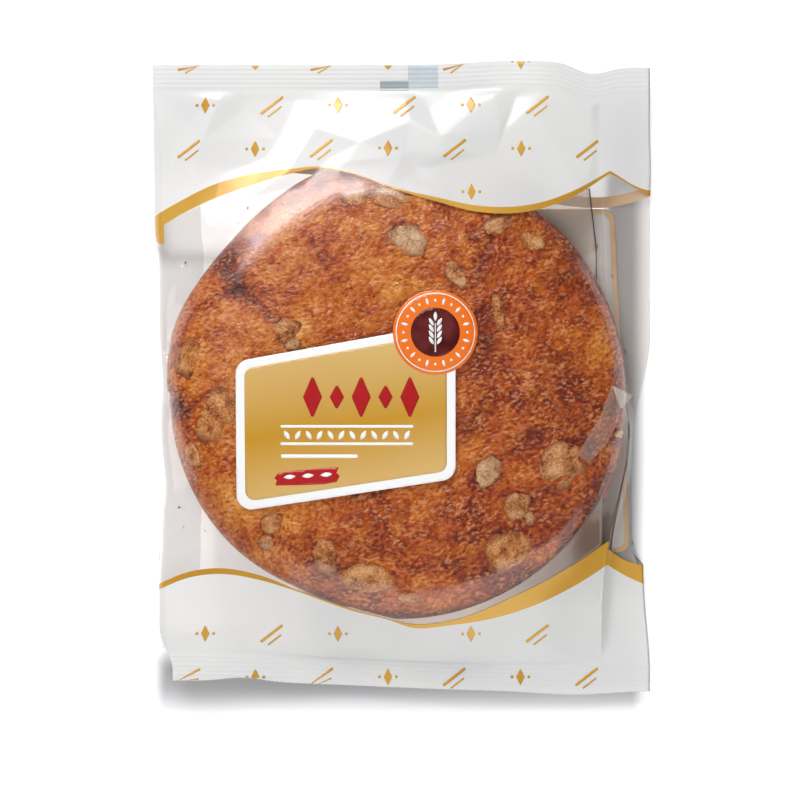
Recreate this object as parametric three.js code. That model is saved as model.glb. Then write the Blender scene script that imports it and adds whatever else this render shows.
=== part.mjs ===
// A walnut gata, a round flat sweet loaf, sealed in a film bag that lies on its back.
//
// Millimetres, +Z up, +Y towards the bag's top seal. The origin is on the surface that the pack
// lies on, under the middle of the pack.
//
// The sealed bag is one closed solid with the outer form of the film: a tight drape over the
// domed loaf, slack film that falls away to a ribbed crimp seal at each end, a rounded fold
// down the left side, a folded gusset that lies open down the right side, and the loaf's flat
// foot underneath. The film's height is found by relaxing a stretched membrane over the loaf.
import * as THREE from "three";

// The bag, measured flat
const PACK_WIDTH = 220;
const PACK_LENGTH = 280;
const EDGE_THICKNESS = 1.2;

// The loaf
const LOAF_RADIUS = 100.5;
const LOAF_HEIGHT = 30.4;
const LOAF_CENTRE = { x: -2, y: -5.5 };
const LOAF_WIDEST_HEIGHT = 10;
const LOAF_FOOT_RADIUS = 86;
const SHOULDER_POWER = 6;
const FILM_CLEARANCE = 1;

// The crimp seals
const TOP_SEAL_WIDTH = 11;
const BOTTOM_SEAL_WIDTH = 12.5;
const BOTTOM_SKEW = 4.8;
const RIB_COUNT = 5;
const RIB_PITCH = 2;
const RIB_HEIGHT = 0.5;
const TOP_RIB_START = 0.6;
const BOTTOM_RIB_START = 2.2;
const TOP_SEAL_HEIGHT = 6.5;
const BOTTOM_SEAL_HEIGHT = 4;
const SEAL_BLEND = 26;

// The sides
const SIDE_EDGE_HEIGHT = 2.4;
const LEFT_FOLD_WIDTH = 4.4;
const LEFT_FOLD_HEIGHT = 9;
const GUSSET_CREASE_X = 87.5;
const GUSSET_CREASE_BULGE = 13;
const GUSSET_CREASE_REACH = 40;
const GUSSET_CREASE_HEIGHT = 9;
const GUSSET_FALL = 3.5;

// The main creases in the film: each runs straight between two places, stands up or sinks by its
// rise at the middle of its fold, and dies away over its reach on both sides.
const CREASES = [
  { from: [-80, 126], to: [-88, 104], rise: 1.3, reach: 13 },
  { from: [-88, 104], to: [-103, 93], rise: 1.1, reach: 11 },
  { from: [-38, 110], to: [-18.5, 103.5], rise: 1.2, reach: 10 },
  { from: [-18.5, 103.5], to: [4, 113], rise: 1.3, reach: 10 },
  { from: [4, 113], to: [17, 106], rise: 1.1, reach: 9 },
  { from: [41, 127], to: [17, 106], rise: 1.4, reach: 9 },
  { from: [42.5, 127], to: [41, 99], rise: -1.3, reach: 9 },
  { from: [41, 99], to: [7, 91], rise: -0.9, reach: 10 },
  { from: [55, 126], to: [78, 85], rise: 1.7, reach: 13 },
  { from: [82, 122], to: [99, 109], rise: 1.3, reach: 10 },
  { from: [-104, 55], to: [-88, 45], rise: 1.5, reach: 10 },
  { from: [-45, -113], to: [-10, -109], rise: 0.8, reach: 9 },
  { from: [-63, -96], to: [-58, -104], rise: 0.8, reach: 9 },
];
const CREASE_FADE = 7;

// The stretched membrane
const NET_STEP = 3;
const NET_ROUNDS = 500;
const NET_OVERSHOOT = 1.85;
const AIR_LIFT = 0.0012;

// The solid's faces
const LEFT_COLUMNS = 6;
const MIDDLE_COLUMNS = 40;
const RIGHT_COLUMNS = 9;
const MIDDLE_ROWS = 50;
const UNDERSIDE_RINGS = 4;
const RIM_INSET = { x: 0.97, y: 0.91 };

const HALF_WIDTH = PACK_WIDTH / 2;
const HALF_LENGTH = PACK_LENGTH / 2;

const clamp = (t) => Math.min(1, Math.max(0, t));
const mix = (a, b, t) => a + (b - a) * t;
const bump = (t) => Math.exp(-t * t);

function ease(t) {
  const s = clamp(t);
  return s * s * (3 - 2 * s);
}

// The bag's outline from above: each side's x at a height up the bag, and each end's y across it.
function leftEdge(y) {
  const lean = 2.9 * ((HALF_LENGTH - y) / PACK_LENGTH);
  const pinch = ease((66 - y) / 12) * ease((y + 88) / 14);
  const waist = bump((y + 2) / 12) + 1.7 * bump((y + 47) / 13);
  const cornerTuck = 6 * ease((-115 - y) / 20);
  return -HALF_WIDTH + lean + pinch + waist + cornerTuck;
}

function rightEdge(y) {
  const lower = 2.8 * ease((y + 132) / 46);
  const upper = 8 * ease((20 - y) / 52);
  const bulge = 0.5 * bump((y - 94) / 14);
  return HALF_WIDTH - 0.5 + bulge - mix(lower, upper, ease((y + 84) / 8));
}

function topEdge(x) {
  const curled = 2.8 * bump((x - 84) / 8.5) + 1.3 * ease((x - 66) / 14);
  return HALF_LENGTH - 1.7 + 1.7 * bump((x - 50) / 24) - curled;
}

// The line that the bottom seal's ribs run along, and the cut, which strays from it.
const bottomLine = (x) => -HALF_LENGTH + 1.8 + BOTTOM_SKEW * (1 - ease((x + 104) / 165));

function bottomEdge(x) {
  return bottomLine(x) + 1.8 * bump((x + 70) / 12) - 1.8 * bump((x - 76) / 22);
}

// Heights of the two seals across the bag: the top one curls up near its right end, and the
// bottom one stands clear of the table at its left end.
function topSealHeight(x) {
  return TOP_SEAL_HEIGHT + 0.9 * Math.sin(x / 27 + 0.6) + 3.6 * bump((x - 60) / 15);
}

function bottomSealHeight(x) {
  return BOTTOM_SEAL_HEIGHT + 3.2 * ease((-18 - x) / 70) + 0.7 * Math.sin(x / 19);
}

// How far along a seal's width a point lies: 0 or less inside the bag, 1 at the cut edge.
const topSealShare = (x, y) => (y - topEdge(x)) / TOP_SEAL_WIDTH + 1;
const bottomSealShare = (x, y) => (bottomLine(x) - y) / BOTTOM_SEAL_WIDTH + 1;

function sealRib(fromEdge, start) {
  const along = (fromEdge - start) / RIB_PITCH;
  if (along < 0 || along > RIB_COUNT) return 0;
  return (RIB_HEIGHT / 2) * (1 - Math.cos(2 * Math.PI * along));
}

// Height of the fold down either side, which rises or falls to meet the seals.
function sideHeight(y, x, middle) {
  const toTop = ease((y - (HALF_LENGTH - TOP_SEAL_WIDTH - SEAL_BLEND)) / SEAL_BLEND);
  const toBottom = ease((-HALF_LENGTH + BOTTOM_SEAL_WIDTH + SEAL_BLEND - y) / SEAL_BLEND);
  return mix(mix(middle, topSealHeight(x), toTop), bottomSealHeight(x), toBottom);
}

const creaseX = (y) =>
  GUSSET_CREASE_X + GUSSET_CREASE_BULGE * bump((y + 26) / GUSSET_CREASE_REACH);

// The loaf's outline from above isn't a true circle: it swells at the lower right and flattens
// at the lower left. Angles are in degrees, anticlockwise from +X.
function loafRadius(dx, dy) {
  const angle = (Math.atan2(dy, dx) * 180) / Math.PI;
  const swell = 3.6 * bump((angle + 42) / 26) + 2 * bump((angle - 108) / 14);
  return LOAF_RADIUS + swell - 3.4 * bump((angle + 112) / 20) - 1.8 * bump((angle - 138) / 18);
}

// The loaf's top: a flat dome with a round shoulder, uneven, and dented at its upper left.
function loafTop(x, y) {
  const dx = x - LOAF_CENTRE.x;
  const dy = y - LOAF_CENTRE.y;
  const reach = Math.hypot(dx, dy) / loafRadius(dx, dy);
  if (reach >= 1) return 0;
  const dome = Math.sqrt(1 - Math.pow(reach, SHOULDER_POWER));
  const uneven = 0.9 * Math.sin(dx / 31 + dy / 47) * Math.cos(dy / 29 - dx / 63);
  const dent = 3.2 * bump((dx + 63) / 13) * bump((dy - 47) / 15);
  return LOAF_WIDEST_HEIGHT + (LOAF_HEIGHT - LOAF_WIDEST_HEIGHT + uneven - dent) * dome;
}

// Where the film's height is set rather than drawn: the seals, the rounded fold down the left
// and the open gusset down the right. Anywhere else this gives null.
function setHeight(x, y) {
  if (topSealShare(x, y) >= 0) return topSealHeight(x);
  if (bottomSealShare(x, y) >= 0) return bottomSealHeight(x);
  const left = leftEdge(y);
  if (x <= left + LEFT_FOLD_WIDTH) {
    const low = sideHeight(y, x, SIDE_EDGE_HEIGHT);
    const rolled = Math.sqrt(1 - Math.pow(1 - clamp((x - left) / LEFT_FOLD_WIDTH), 2));
    const shoulder = loafTop(left + LEFT_FOLD_WIDTH, y) + FILM_CLEARANCE;
    const high = Math.max(sideHeight(y, x, LEFT_FOLD_HEIGHT), shoulder);
    return mix(low, high, rolled);
  }
  const beyond = x - creaseX(y);
  if (beyond < 0) return null;
  const low = sideHeight(y, x, SIDE_EDGE_HEIGHT);
  const high = sideHeight(y, x, GUSSET_CREASE_HEIGHT);
  const fallen = mix(low, high, Math.exp(-beyond / GUSSET_FALL));
  return Math.max(fallen, loafTop(x, y) > 0 ? loafTop(x, y) + FILM_CLEARANCE : 0);
}

// The film's height on a square net. Each free point moves to the mean of its neighbours, lifted
// a little by the air in the bag, and stays above the loaf.
function drapeFilm() {
  const columns = Math.ceil(PACK_WIDTH / NET_STEP) + 3;
  const rows = Math.ceil(PACK_LENGTH / NET_STEP) + 3;
  const height = new Float64Array(columns * rows);
  const floor = new Float64Array(columns * rows);
  const free = [];
  for (let j = 0; j < rows; j++) {
    for (let i = 0; i < columns; i++) {
      const x = (i - (columns - 1) / 2) * NET_STEP;
      const y = (j - (rows - 1) / 2) * NET_STEP;
      const at = j * columns + i;
      const fixed = setHeight(x, y);
      const loaf = loafTop(x, y);
      floor[at] = loaf > 0 ? loaf + FILM_CLEARANCE : 0;
      height[at] = fixed ?? Math.max(floor[at], TOP_SEAL_HEIGHT);
      const onRim = i === 0 || j === 0 || i === columns - 1 || j === rows - 1;
      if (fixed === null && !onRim) free.push(at);
    }
  }
  const lift = (AIR_LIFT * NET_STEP * NET_STEP) / 4;
  for (let round = 0; round < NET_ROUNDS; round++) {
    for (const at of free) {
      const sum = height[at - 1] + height[at + 1] + height[at - columns] + height[at + columns];
      const moved = mix(height[at], sum / 4 + lift, NET_OVERSHOOT);
      height[at] = Math.max(moved, floor[at]);
    }
  }
  return { columns, rows, height };
}

const net = drapeFilm();

function netHeight(x, y) {
  const u = x / NET_STEP + (net.columns - 1) / 2;
  const v = y / NET_STEP + (net.rows - 1) / 2;
  const i = Math.min(net.columns - 2, Math.max(0, Math.floor(u)));
  const j = Math.min(net.rows - 2, Math.max(0, Math.floor(v)));
  const at = (a, b) => net.height[(j + b) * net.columns + i + a];
  return mix(mix(at(0, 0), at(1, 0), u - i), mix(at(0, 1), at(1, 1), u - i), v - j);
}

// How much the creases add to the film's height at a place, fading out beside the seals.
function creaseHeight(x, y) {
  let sum = 0;
  for (const { from, to, rise, reach } of CREASES) {
    const along = [to[0] - from[0], to[1] - from[1]];
    const run = along[0] * along[0] + along[1] * along[1];
    const share = clamp(((x - from[0]) * along[0] + (y - from[1]) * along[1]) / run);
    const away = Math.hypot(x - from[0] - share * along[0], y - from[1] - share * along[1]);
    sum += rise * Math.max(0, 1 - away / reach);
  }
  const toTop = topEdge(x) - TOP_SEAL_WIDTH - y;
  const toBottom = y - bottomLine(x) - BOTTOM_SEAL_WIDTH;
  const toLeft = x - leftEdge(y) - LEFT_FOLD_WIDTH;
  const nearest = Math.min(toTop, toBottom, toLeft, creaseX(y) - x);
  return sum * ease(nearest / CREASE_FADE);
}

// The film's middle, and its top with the ribs that the seal jaws press into it.
function filmMiddle(x, y) {
  const fixed = setHeight(x, y);
  if (fixed !== null) return fixed;
  const loaf = loafTop(x, y);
  const lowest = loaf > 0 ? loaf + FILM_CLEARANCE : 0;
  return Math.max(netHeight(x, y) + creaseHeight(x, y), lowest);
}

function filmTop(x, y) {
  const topRib = sealRib(topEdge(x) - y, TOP_RIB_START);
  const bottomRib = sealRib(y - bottomLine(x), BOTTOM_RIB_START);
  return filmMiddle(x, y) + EDGE_THICKNESS / 2 + topRib + bottomRib;
}

// The underside: flat under the loaf, and rising to the seals and the side folds.
function filmUnder(x, y) {
  const end = y > LOAF_CENTRE.y ? topSealHeight(x) : bottomSealHeight(x);
  const inner =
    y > LOAF_CENTRE.y ? topEdge(x) - TOP_SEAL_WIDTH : -(bottomLine(x) + BOTTOM_SEAL_WIDTH);
  const footEnd = LOAF_FOOT_RADIUS + (y > LOAF_CENTRE.y ? LOAF_CENTRE.y : -LOAF_CENTRE.y);
  const alongY = clamp((Math.abs(y) - footEnd) / (inner - footEnd));
  const side = x > LOAF_CENTRE.x ? rightEdge(y) : -leftEdge(y);
  const footSide = LOAF_FOOT_RADIUS + (x > LOAF_CENTRE.x ? LOAF_CENTRE.x : -LOAF_CENTRE.x);
  const alongX = clamp((Math.abs(x) - footSide) / (side - footSide));
  const raised = Math.max(end * Math.pow(alongY, 1.6), SIDE_EDGE_HEIGHT * alongX * alongX);
  const edge = sideHeight(y, x, SIDE_EDGE_HEIGHT);
  const lifted = mix(raised, Math.max(raised, edge), Math.pow(alongX, 3));
  return Math.max(0, lifted - (EDGE_THICKNESS / 2) * Math.max(alongX, alongY));
}

// A place on the bag. Across it, zone 0 is the rounded left fold, zone 1 the middle and zone 2
// the gusset, and the share says how far through the zone. Up it, v runs from -1 to 1, and below
// the bottom ribs the rows turn to follow the cut.
function place([zone, share], v) {
  const upright = v * HALF_LENGTH;
  const fold = leftEdge(upright) + LEFT_FOLD_WIDTH;
  const stops = [leftEdge(upright), fold, creaseX(upright), rightEdge(upright)];
  const x = mix(stops[zone], stops[zone + 1], share);
  const toCut = Math.max(0, 1 - ((v + 1) * HALF_LENGTH) / BOTTOM_RIB_START);
  const stray = (bottomEdge(x) - bottomLine(x)) * toCut;
  return { x, y: mix(bottomLine(x), topEdge(x), (v + 1) / 2) + stray };
}

// Places across the bag, closest together round the left fold and just past the right crease.
function columnPlaces() {
  const places = [];
  for (let i = 0; i < LEFT_COLUMNS; i++) {
    places.push([0, 1 - Math.cos((Math.PI / 2) * (i / LEFT_COLUMNS))]);
  }
  for (let i = 0; i < MIDDLE_COLUMNS; i++) places.push([1, i / MIDDLE_COLUMNS]);
  for (let i = 0; i <= RIGHT_COLUMNS; i++) {
    places.push([2, Math.pow(i / RIGHT_COLUMNS, 1.5)]);
  }
  return places;
}

// Shares up the bag, with a row on each rib's foot and crest.
function rowShares() {
  const ribRows = (start, width) => {
    const rows = [0];
    for (let k = 0; k <= 2 * RIB_COUNT; k++) rows.push(start + (k * RIB_PITCH) / 2);
    if (width - rows.at(-1) > 0.3) rows.push(width);
    return rows.map((fromEdge) => (2 * fromEdge) / PACK_LENGTH);
  };
  const bottom = ribRows(BOTTOM_RIB_START, BOTTOM_SEAL_WIDTH).map((share) => -1 + share);
  const top = ribRows(TOP_RIB_START, TOP_SEAL_WIDTH).map((share) => 1 - share);
  const low = bottom.at(-1);
  const high = top.at(-1);
  const middle = [];
  for (let j = 1; j < MIDDLE_ROWS; j++) middle.push(mix(low, high, j / MIDDLE_ROWS));
  return [...bottom, ...middle, ...top.reverse()];
}

// The closed surface: the film's top as a grid, its edge as a band, and the underside as rings
// that close in on the loaf's round foot.
function sealedBagGeometry() {
  const across = columnPlaces();
  const up = rowShares();
  const columns = across.length;
  const rows = up.length;
  const points = [];
  const faces = [];
  const add = (x, y, z) => points.push(x, y, z) / 3 - 1;
  const quad = (a, b, c, d) => faces.push(a, b, c, a, c, d);

  const top = up.map((v) =>
    across.map((u) => {
      const { x, y } = place(u, v);
      return add(x, y, filmTop(x, y));
    }),
  );
  for (let j = 0; j < rows - 1; j++) {
    for (let i = 0; i < columns - 1; i++) {
      quad(top[j][i], top[j][i + 1], top[j + 1][i + 1], top[j + 1][i]);
    }
  }

  // The rim, anticlockwise from above, as shares and as points of the top.
  const rim = [];
  for (let i = 0; i < columns - 1; i++) rim.push([i, 0]);
  for (let j = 0; j < rows - 1; j++) rim.push([columns - 1, j]);
  for (let i = columns - 1; i > 0; i--) rim.push([i, rows - 1]);
  for (let j = rows - 1; j > 0; j--) rim.push([0, j]);
  const upper = rim.map(([i, j]) => top[j][i]);
  const edge = rim.map(([i, j]) => {
    const { x, y } = place(across[i], up[j]);
    return add(x, y, filmMiddle(x, y) - EDGE_THICKNESS / 2);
  });

  // The underside starts a little inside the rim, clear of the seals.
  const inset = rim.map(([i, j]) => {
    const { x, y } = place(across[i], up[j]);
    return { x: x * RIM_INSET.x, y: y * RIM_INSET.y };
  });
  const foot = inset.map(({ x, y }) => {
    const dx = x - LOAF_CENTRE.x;
    const dy = y - LOAF_CENTRE.y;
    const scale = LOAF_FOOT_RADIUS / Math.hypot(dx, dy);
    return { x: LOAF_CENTRE.x + dx * scale, y: LOAF_CENTRE.y + dy * scale };
  });
  const loops = [upper, edge];
  for (let k = 0; k <= UNDERSIDE_RINGS; k++) {
    const share = k / UNDERSIDE_RINGS;
    loops.push(
      inset.map((from, n) => {
        const x = mix(from.x, foot[n].x, share);
        const y = mix(from.y, foot[n].y, share);
        return add(x, y, k === UNDERSIDE_RINGS ? 0 : filmUnder(x, y));
      }),
    );
  }
  const count = rim.length;
  for (let k = 0; k < loops.length - 1; k++) {
    const outer = loops[k];
    const inner = loops[k + 1];
    for (let n = 0; n < count; n++) {
      const next = (n + 1) % count;
      quad(outer[n], inner[n], inner[next], outer[next]);
    }
  }
  const middle = add(LOAF_CENTRE.x, LOAF_CENTRE.y, 0);
  const last = loops.at(-1);
  for (let n = 0; n < count; n++) faces.push(last[n], middle, last[(n + 1) % count]);

  const geometry = new THREE.BufferGeometry();
  geometry.setAttribute("position", new THREE.Float32BufferAttribute(points, 3));
  geometry.setIndex(faces);
  geometry.computeVertexNormals();
  return geometry;
}

// Clear glossy film over a baked brown loaf.
function sealedBag() {
  const finish = new THREE.MeshStandardMaterial({
    color: 0xd9b48c,
    roughness: 0.25,
    metalness: 0,
  });
  const mesh = new THREE.Mesh(sealedBagGeometry(), finish);
  mesh.name = "sealed_bag";
  return mesh;
}

const pack = new THREE.Group();
pack.add(sealedBag());
export default pack;
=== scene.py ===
"""A walnut gata, a round flat sweet loaf, sealed in a printed film bag that lies on its back.

Sizes are in millimetres and turn to metres where a mesh is made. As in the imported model, +Y runs
up the pack to its top seal, +Z stands out of the shown front, and the table is at zero.
"""

import logging
import math
from collections.abc import Callable, Iterable, Iterator, Sequence
from dataclasses import dataclass, field
from enum import Enum, IntEnum
from functools import partial

import bmesh
import bpy
import numpy as np
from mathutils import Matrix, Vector
from mathutils.geometry import delaunay_2d_cdt
from numpy.fft import fft2, fftfreq, ifft2


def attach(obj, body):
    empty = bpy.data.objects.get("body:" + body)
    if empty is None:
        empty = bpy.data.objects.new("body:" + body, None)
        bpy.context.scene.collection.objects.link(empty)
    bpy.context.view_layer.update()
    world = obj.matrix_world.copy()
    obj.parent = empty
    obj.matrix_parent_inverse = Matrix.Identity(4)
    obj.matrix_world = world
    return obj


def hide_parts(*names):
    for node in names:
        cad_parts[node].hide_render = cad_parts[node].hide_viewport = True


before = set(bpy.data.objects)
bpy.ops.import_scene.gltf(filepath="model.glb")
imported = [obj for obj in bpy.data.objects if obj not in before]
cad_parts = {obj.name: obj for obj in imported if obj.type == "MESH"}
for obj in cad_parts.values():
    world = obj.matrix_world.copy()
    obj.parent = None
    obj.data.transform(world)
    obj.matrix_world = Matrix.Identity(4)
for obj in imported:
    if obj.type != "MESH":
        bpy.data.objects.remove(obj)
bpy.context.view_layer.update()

LOG = logging.getLogger("gata")
MM = 0.001
Array = np.ndarray
Point = tuple[float, float]
Line = tuple[Point, ...]
Triple = tuple[float, float, float]
Piece = bpy.types.Object
Socket = bpy.types.NodeSocket
Adder = Callable[..., Socket]


# Small mathematics shared by all the pieces


def bump(t: Array) -> Array:
    """Give a smooth hump that is 1 at zero and dies away by 2 on each side."""
    return np.exp(-np.square(t))


def ease(t: Array) -> Array:
    """Give a smooth step from 0 to 1 as t goes from 0 to 1."""
    s = np.clip(t, 0.0, 1.0)
    return s * s * (3.0 - 2.0 * s)


def mix(a: Array, b: Array, t: Array) -> Array:
    """Give the value a share t of the way from a to b."""
    return a + (b - a) * t


def smooth_curve(points: Sequence[Point], x: Array) -> Array:
    """Give the height of a smooth curve through some points.

    Args:
        points: The places (x, y) that the curve passes through, in order of x.
        x: Where to read the curve. Beyond the ends it runs level.

    Returns:
        The curve's y at each x.
    """
    xs, ys = np.array(points, float).T
    slopes = np.gradient(ys, xs)
    place = np.clip(x, xs[0], xs[-1])
    i = np.clip(np.searchsorted(xs, place) - 1, 0, len(xs) - 2)
    run = xs[i + 1] - xs[i]
    t = (place - xs[i]) / run
    start = (2 * t**3 - 3 * t**2 + 1) * ys[i] + (t**3 - 2 * t**2 + t) * run * slopes[i]
    end = (3 * t**2 - 2 * t**3) * ys[i + 1] + (t**3 - t**2) * run * slopes[i + 1]
    return start + end


def distance_to(x: Array, y: Array, start: Point, end: Point) -> Array:
    """Give the distance from places to a straight stretch.

    Args:
        x, y: The places.
        start: One end of the stretch.
        end: Its other end.

    Returns:
        The distance of each place from the nearest point of the stretch.
    """
    run = np.array(end) - np.array(start)
    share = ((x - start[0]) * run[0] + (y - start[1]) * run[1]) / (run @ run)
    share = np.clip(share, 0, 1)
    return np.hypot(x - start[0] - share * run[0], y - start[1] - share * run[1])


@dataclass(frozen=True)
class Net:
    """A square net of heights that can be read anywhere between its knots."""

    step: float  # between neighbouring knots
    half_x: float  # reach on each side of the middle
    half_y: float

    @property
    def shape(self) -> tuple[int, int]:
        """Count the knots up and across the net."""
        return 2 * round(self.half_y / self.step) + 1, 2 * round(self.half_x / self.step) + 1

    def knots(self) -> tuple[Array, Array]:
        """Give the x and y of every knot."""
        up, across = ((np.arange(count) - count // 2) * self.step for count in self.shape)
        return np.meshgrid(across, up)

    def read(self, values: Array, x: Array, y: Array) -> Array:
        """Read values at places between the knots.

        Args:
            values: One value for each knot.
            x, y: The places.

        Returns:
            The values there, mixed from the four knots around each place.
        """
        rows, columns = self.shape
        u = np.clip(np.asarray(x) / self.step + columns // 2, 0, columns - 1.001)
        v = np.clip(np.asarray(y) / self.step + rows // 2, 0, rows - 1.001)
        i, j = u.astype(int), v.astype(int)
        low = mix(values[j, i], values[j, i + 1], u - i)
        high = mix(values[j + 1, i], values[j + 1, i + 1], u - i)
        return mix(low, high, v - j)


# Finishes


class Slot(Enum):
    """The record's material slots, one named for each piece."""

    CLEAR_FILM = "clear_film"
    WHITE_PRINT = "white_print"
    GOLD_PRINT = "gold_print"
    WARM_PRINT = "warm_print"
    CRUST = "baked_crust"
    CRUMB = "walnut_crumb"


def linear(colour: str) -> tuple[float, float, float, float]:
    """Turn an sRGB hex colour such as "#d9a441" into linear light with full cover."""
    parts = (int(colour[i : i + 2], 16) / 255 for i in (1, 3, 5))
    return (*(c / 12.92 if c <= 0.04045 else ((c + 0.055) / 1.055) ** 2.4 for c in parts), 1.0)


def per_mm(size: float) -> float:
    """Give the noise scale, in object space, whose blobs are about this many mm apart."""
    return 1.0 / (size * MM)


def add_node(
    tree: bpy.types.NodeTree,
    kind: str,
    inputs: dict | Sequence = (),
    output: int | str = 0,
    **settings: object,
) -> Socket | None:
    """Add a shader node with its settings and links.

    Args:
        tree: The node tree that takes the node.
        kind: The node's type, without its "ShaderNode" prefix, and its operation after a dot.
        inputs: The inputs in order, or by name or number: each a value or the socket that feeds it.
        output: Name or number of the output that is wanted.
        **settings: The node's own properties. A ramp's are its stops: places from 0 to 1, each
            with its sRGB hex colour.

    Returns:
        The output, or None for a node that has none.
    """
    kind, *operation = kind.split(".")
    node = tree.nodes.new("ShaderNode" + kind)
    stops = settings.pop("stops", ())
    if operation:
        node.operation = operation[0]
    for name, value in settings.items():
        setattr(node, name, value)
    for name, value in (inputs if isinstance(inputs, dict) else dict(enumerate(inputs))).items():
        if isinstance(value, Socket):
            tree.links.new(value, node.inputs[name])
        else:
            node.inputs[name].default_value = value
    for _ in stops[2:]:
        node.color_ramp.elements.new(0.5)
    for i, (place, colour) in enumerate(stops):
        node.color_ramp.elements[i].position = place
        node.color_ramp.elements[i].color = linear(colour)
    return node.outputs[output] if node.outputs else None


@dataclass(frozen=True)
class Finish:
    """What a piece's surface is made of. Each finish adds the nodes of its own surface."""

    name: str

    def build(self) -> bpy.types.Material:
        """Make the material the first time that it is asked for.

        Returns:
            The material.
        """
        material = bpy.data.materials.get(self.name)
        if material is None:
            material = bpy.data.materials.new(self.name)
            material.use_nodes = True
            material.node_tree.nodes.clear()
            add = partial(add_node, material.node_tree)
            add("OutputMaterial", {"Surface": self.surface(add)})
        return material

    def surface(self, add: Adder) -> Socket:
        """Add the surface's nodes with the given adder, and give its output."""
        raise NotImplementedError

    @staticmethod
    def film_crinkle(add: Adder, depth: float) -> Socket:
        """Add the normal of thin film, whose faint unevenness breaks up its reflections."""
        swell = {"Vector": add("TexCoord", output="Object"), "Scale": per_mm(11), "Detail": 3.0}
        return add("Bump", {"Height": add("TexNoise", swell), "Distance": depth * MM, "Strength": 1.0})


@dataclass(frozen=True)
class ClearFilm(Finish):
    """Stretched polypropylene film, clear and glossy: it mirrors the lamps more at a slant."""

    name: str = "clear_polypropylene_film"
    tint: str = "#fcfcfc"  # what is seen through one sheet
    mirror: float = 0.066  # share of light that both faces of a sheet mirror, head on
    haze: float = 0.0  # share that it scatters, which veils what is behind it
    haze_colour: str = "#f4f3f0"
    low_colour: str | None = None  # the same at the far end of its span, where it differs
    span: tuple[str, float, float] = ("Y", -70.0, 60.0)  # that axis and its two ends

    def surface(self, add: Adder) -> Socket:
        """Add a see-through body with a mirror part that grows at a slant.

        Args:
            add: Adds a node.

        Returns:
            The surface.
        """
        normal = self.film_crinkle(add, 0.06)
        facing = add("LayerWeight", {"Blend": 0.5, "Normal": normal}, "Facing")
        slant = add("Math.POWER", (facing, 5.0))
        share = add("Math.MULTIPLY_ADD", (slant, 0.9 - self.mirror, self.mirror))
        seen = add("BsdfTransparent", {"Color": linear(self.tint)})
        paint = linear(self.haze_colour)
        if self.low_colour:
            axis, low, high = self.span
            along = add("SeparateXYZ", (add("TexCoord", output="Object"),), axis)
            far = add("MapRange", (along, low * MM, high * MM))
            paint = add("ValToRGB", (far,), stops=((0.0, self.low_colour), (1.0, self.haze_colour)))
        scatter = add("BsdfDiffuse", {"Color": paint, "Normal": normal})
        gloss = add("BsdfGlossy", {"Color": linear("#ffffff"), "Roughness": 0.15, "Normal": normal})
        return add("MixShader", (share, add("MixShader", (self.haze, seen, scatter)), gloss))


@dataclass(frozen=True)
class FilmInk(Finish):
    """Ink printed on the inside of glossy film, so the film's own gloss lies over it."""

    colour: str
    second: str  # a colour that it drifts to over some centimetres
    metallic: float = 0.0  # for bronze powder inks
    roughness: float = 0.16
    thin: float = 0.0  # share of what lies behind that shows through
    milky: float = 0.0  # share of the light that passes through it scattered
    drift: float = 40.0  # size of the drift between the two colours
    # For a printed fade: the y of the main colour at x = 0, its slope, and the distance up or down
    # over which it turns to the second one
    fade: Triple | None = None

    def surface(self, add: Adder) -> Socket:
        """Add a drifting ink colour under a smooth clear gloss.

        Args:
            add: Adds a node.

        Returns:
            The surface.
        """
        place = add("TexCoord", output="Object")
        cloud = add("TexNoise", {"Vector": place, "Scale": per_mm(self.drift), "Detail": 1.0})
        drift = add("MapRange", (cloud, 0.35, 0.65))
        if self.fade:
            middle, slope, reach = self.fade
            x, y = (add("SeparateXYZ", (place,), axis) for axis in "XY")
            line = add("Math.MULTIPLY_ADD", (x, slope, middle * MM))
            away = add("Math.ABSOLUTE", (add("Math.SUBTRACT", (y, line)),))
            drift = add("Math.MULTIPLY_ADD", (drift, 0.2, add("Math.DIVIDE", (away, reach * MM))))
        paint = add("ValToRGB", (drift,), stops=((0.0, self.colour), (1.0, self.second)))
        gloss = {"Roughness": self.roughness, "Normal": self.film_crinkle(add, 0.03), "IOR": 1.5}
        surface = add("BsdfPrincipled", {"Base Color": paint, "Metallic": self.metallic, **gloss})
        layers = ((self.milky, "BsdfTranslucent", "#f4f4f2"), (self.thin, "BsdfTransparent", "#ffffff"))
        for share, kind, colour in layers:
            if share:
                surface = add("MixShader", (share, surface, add(kind, {"Color": linear(colour)})))
        return surface


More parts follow.
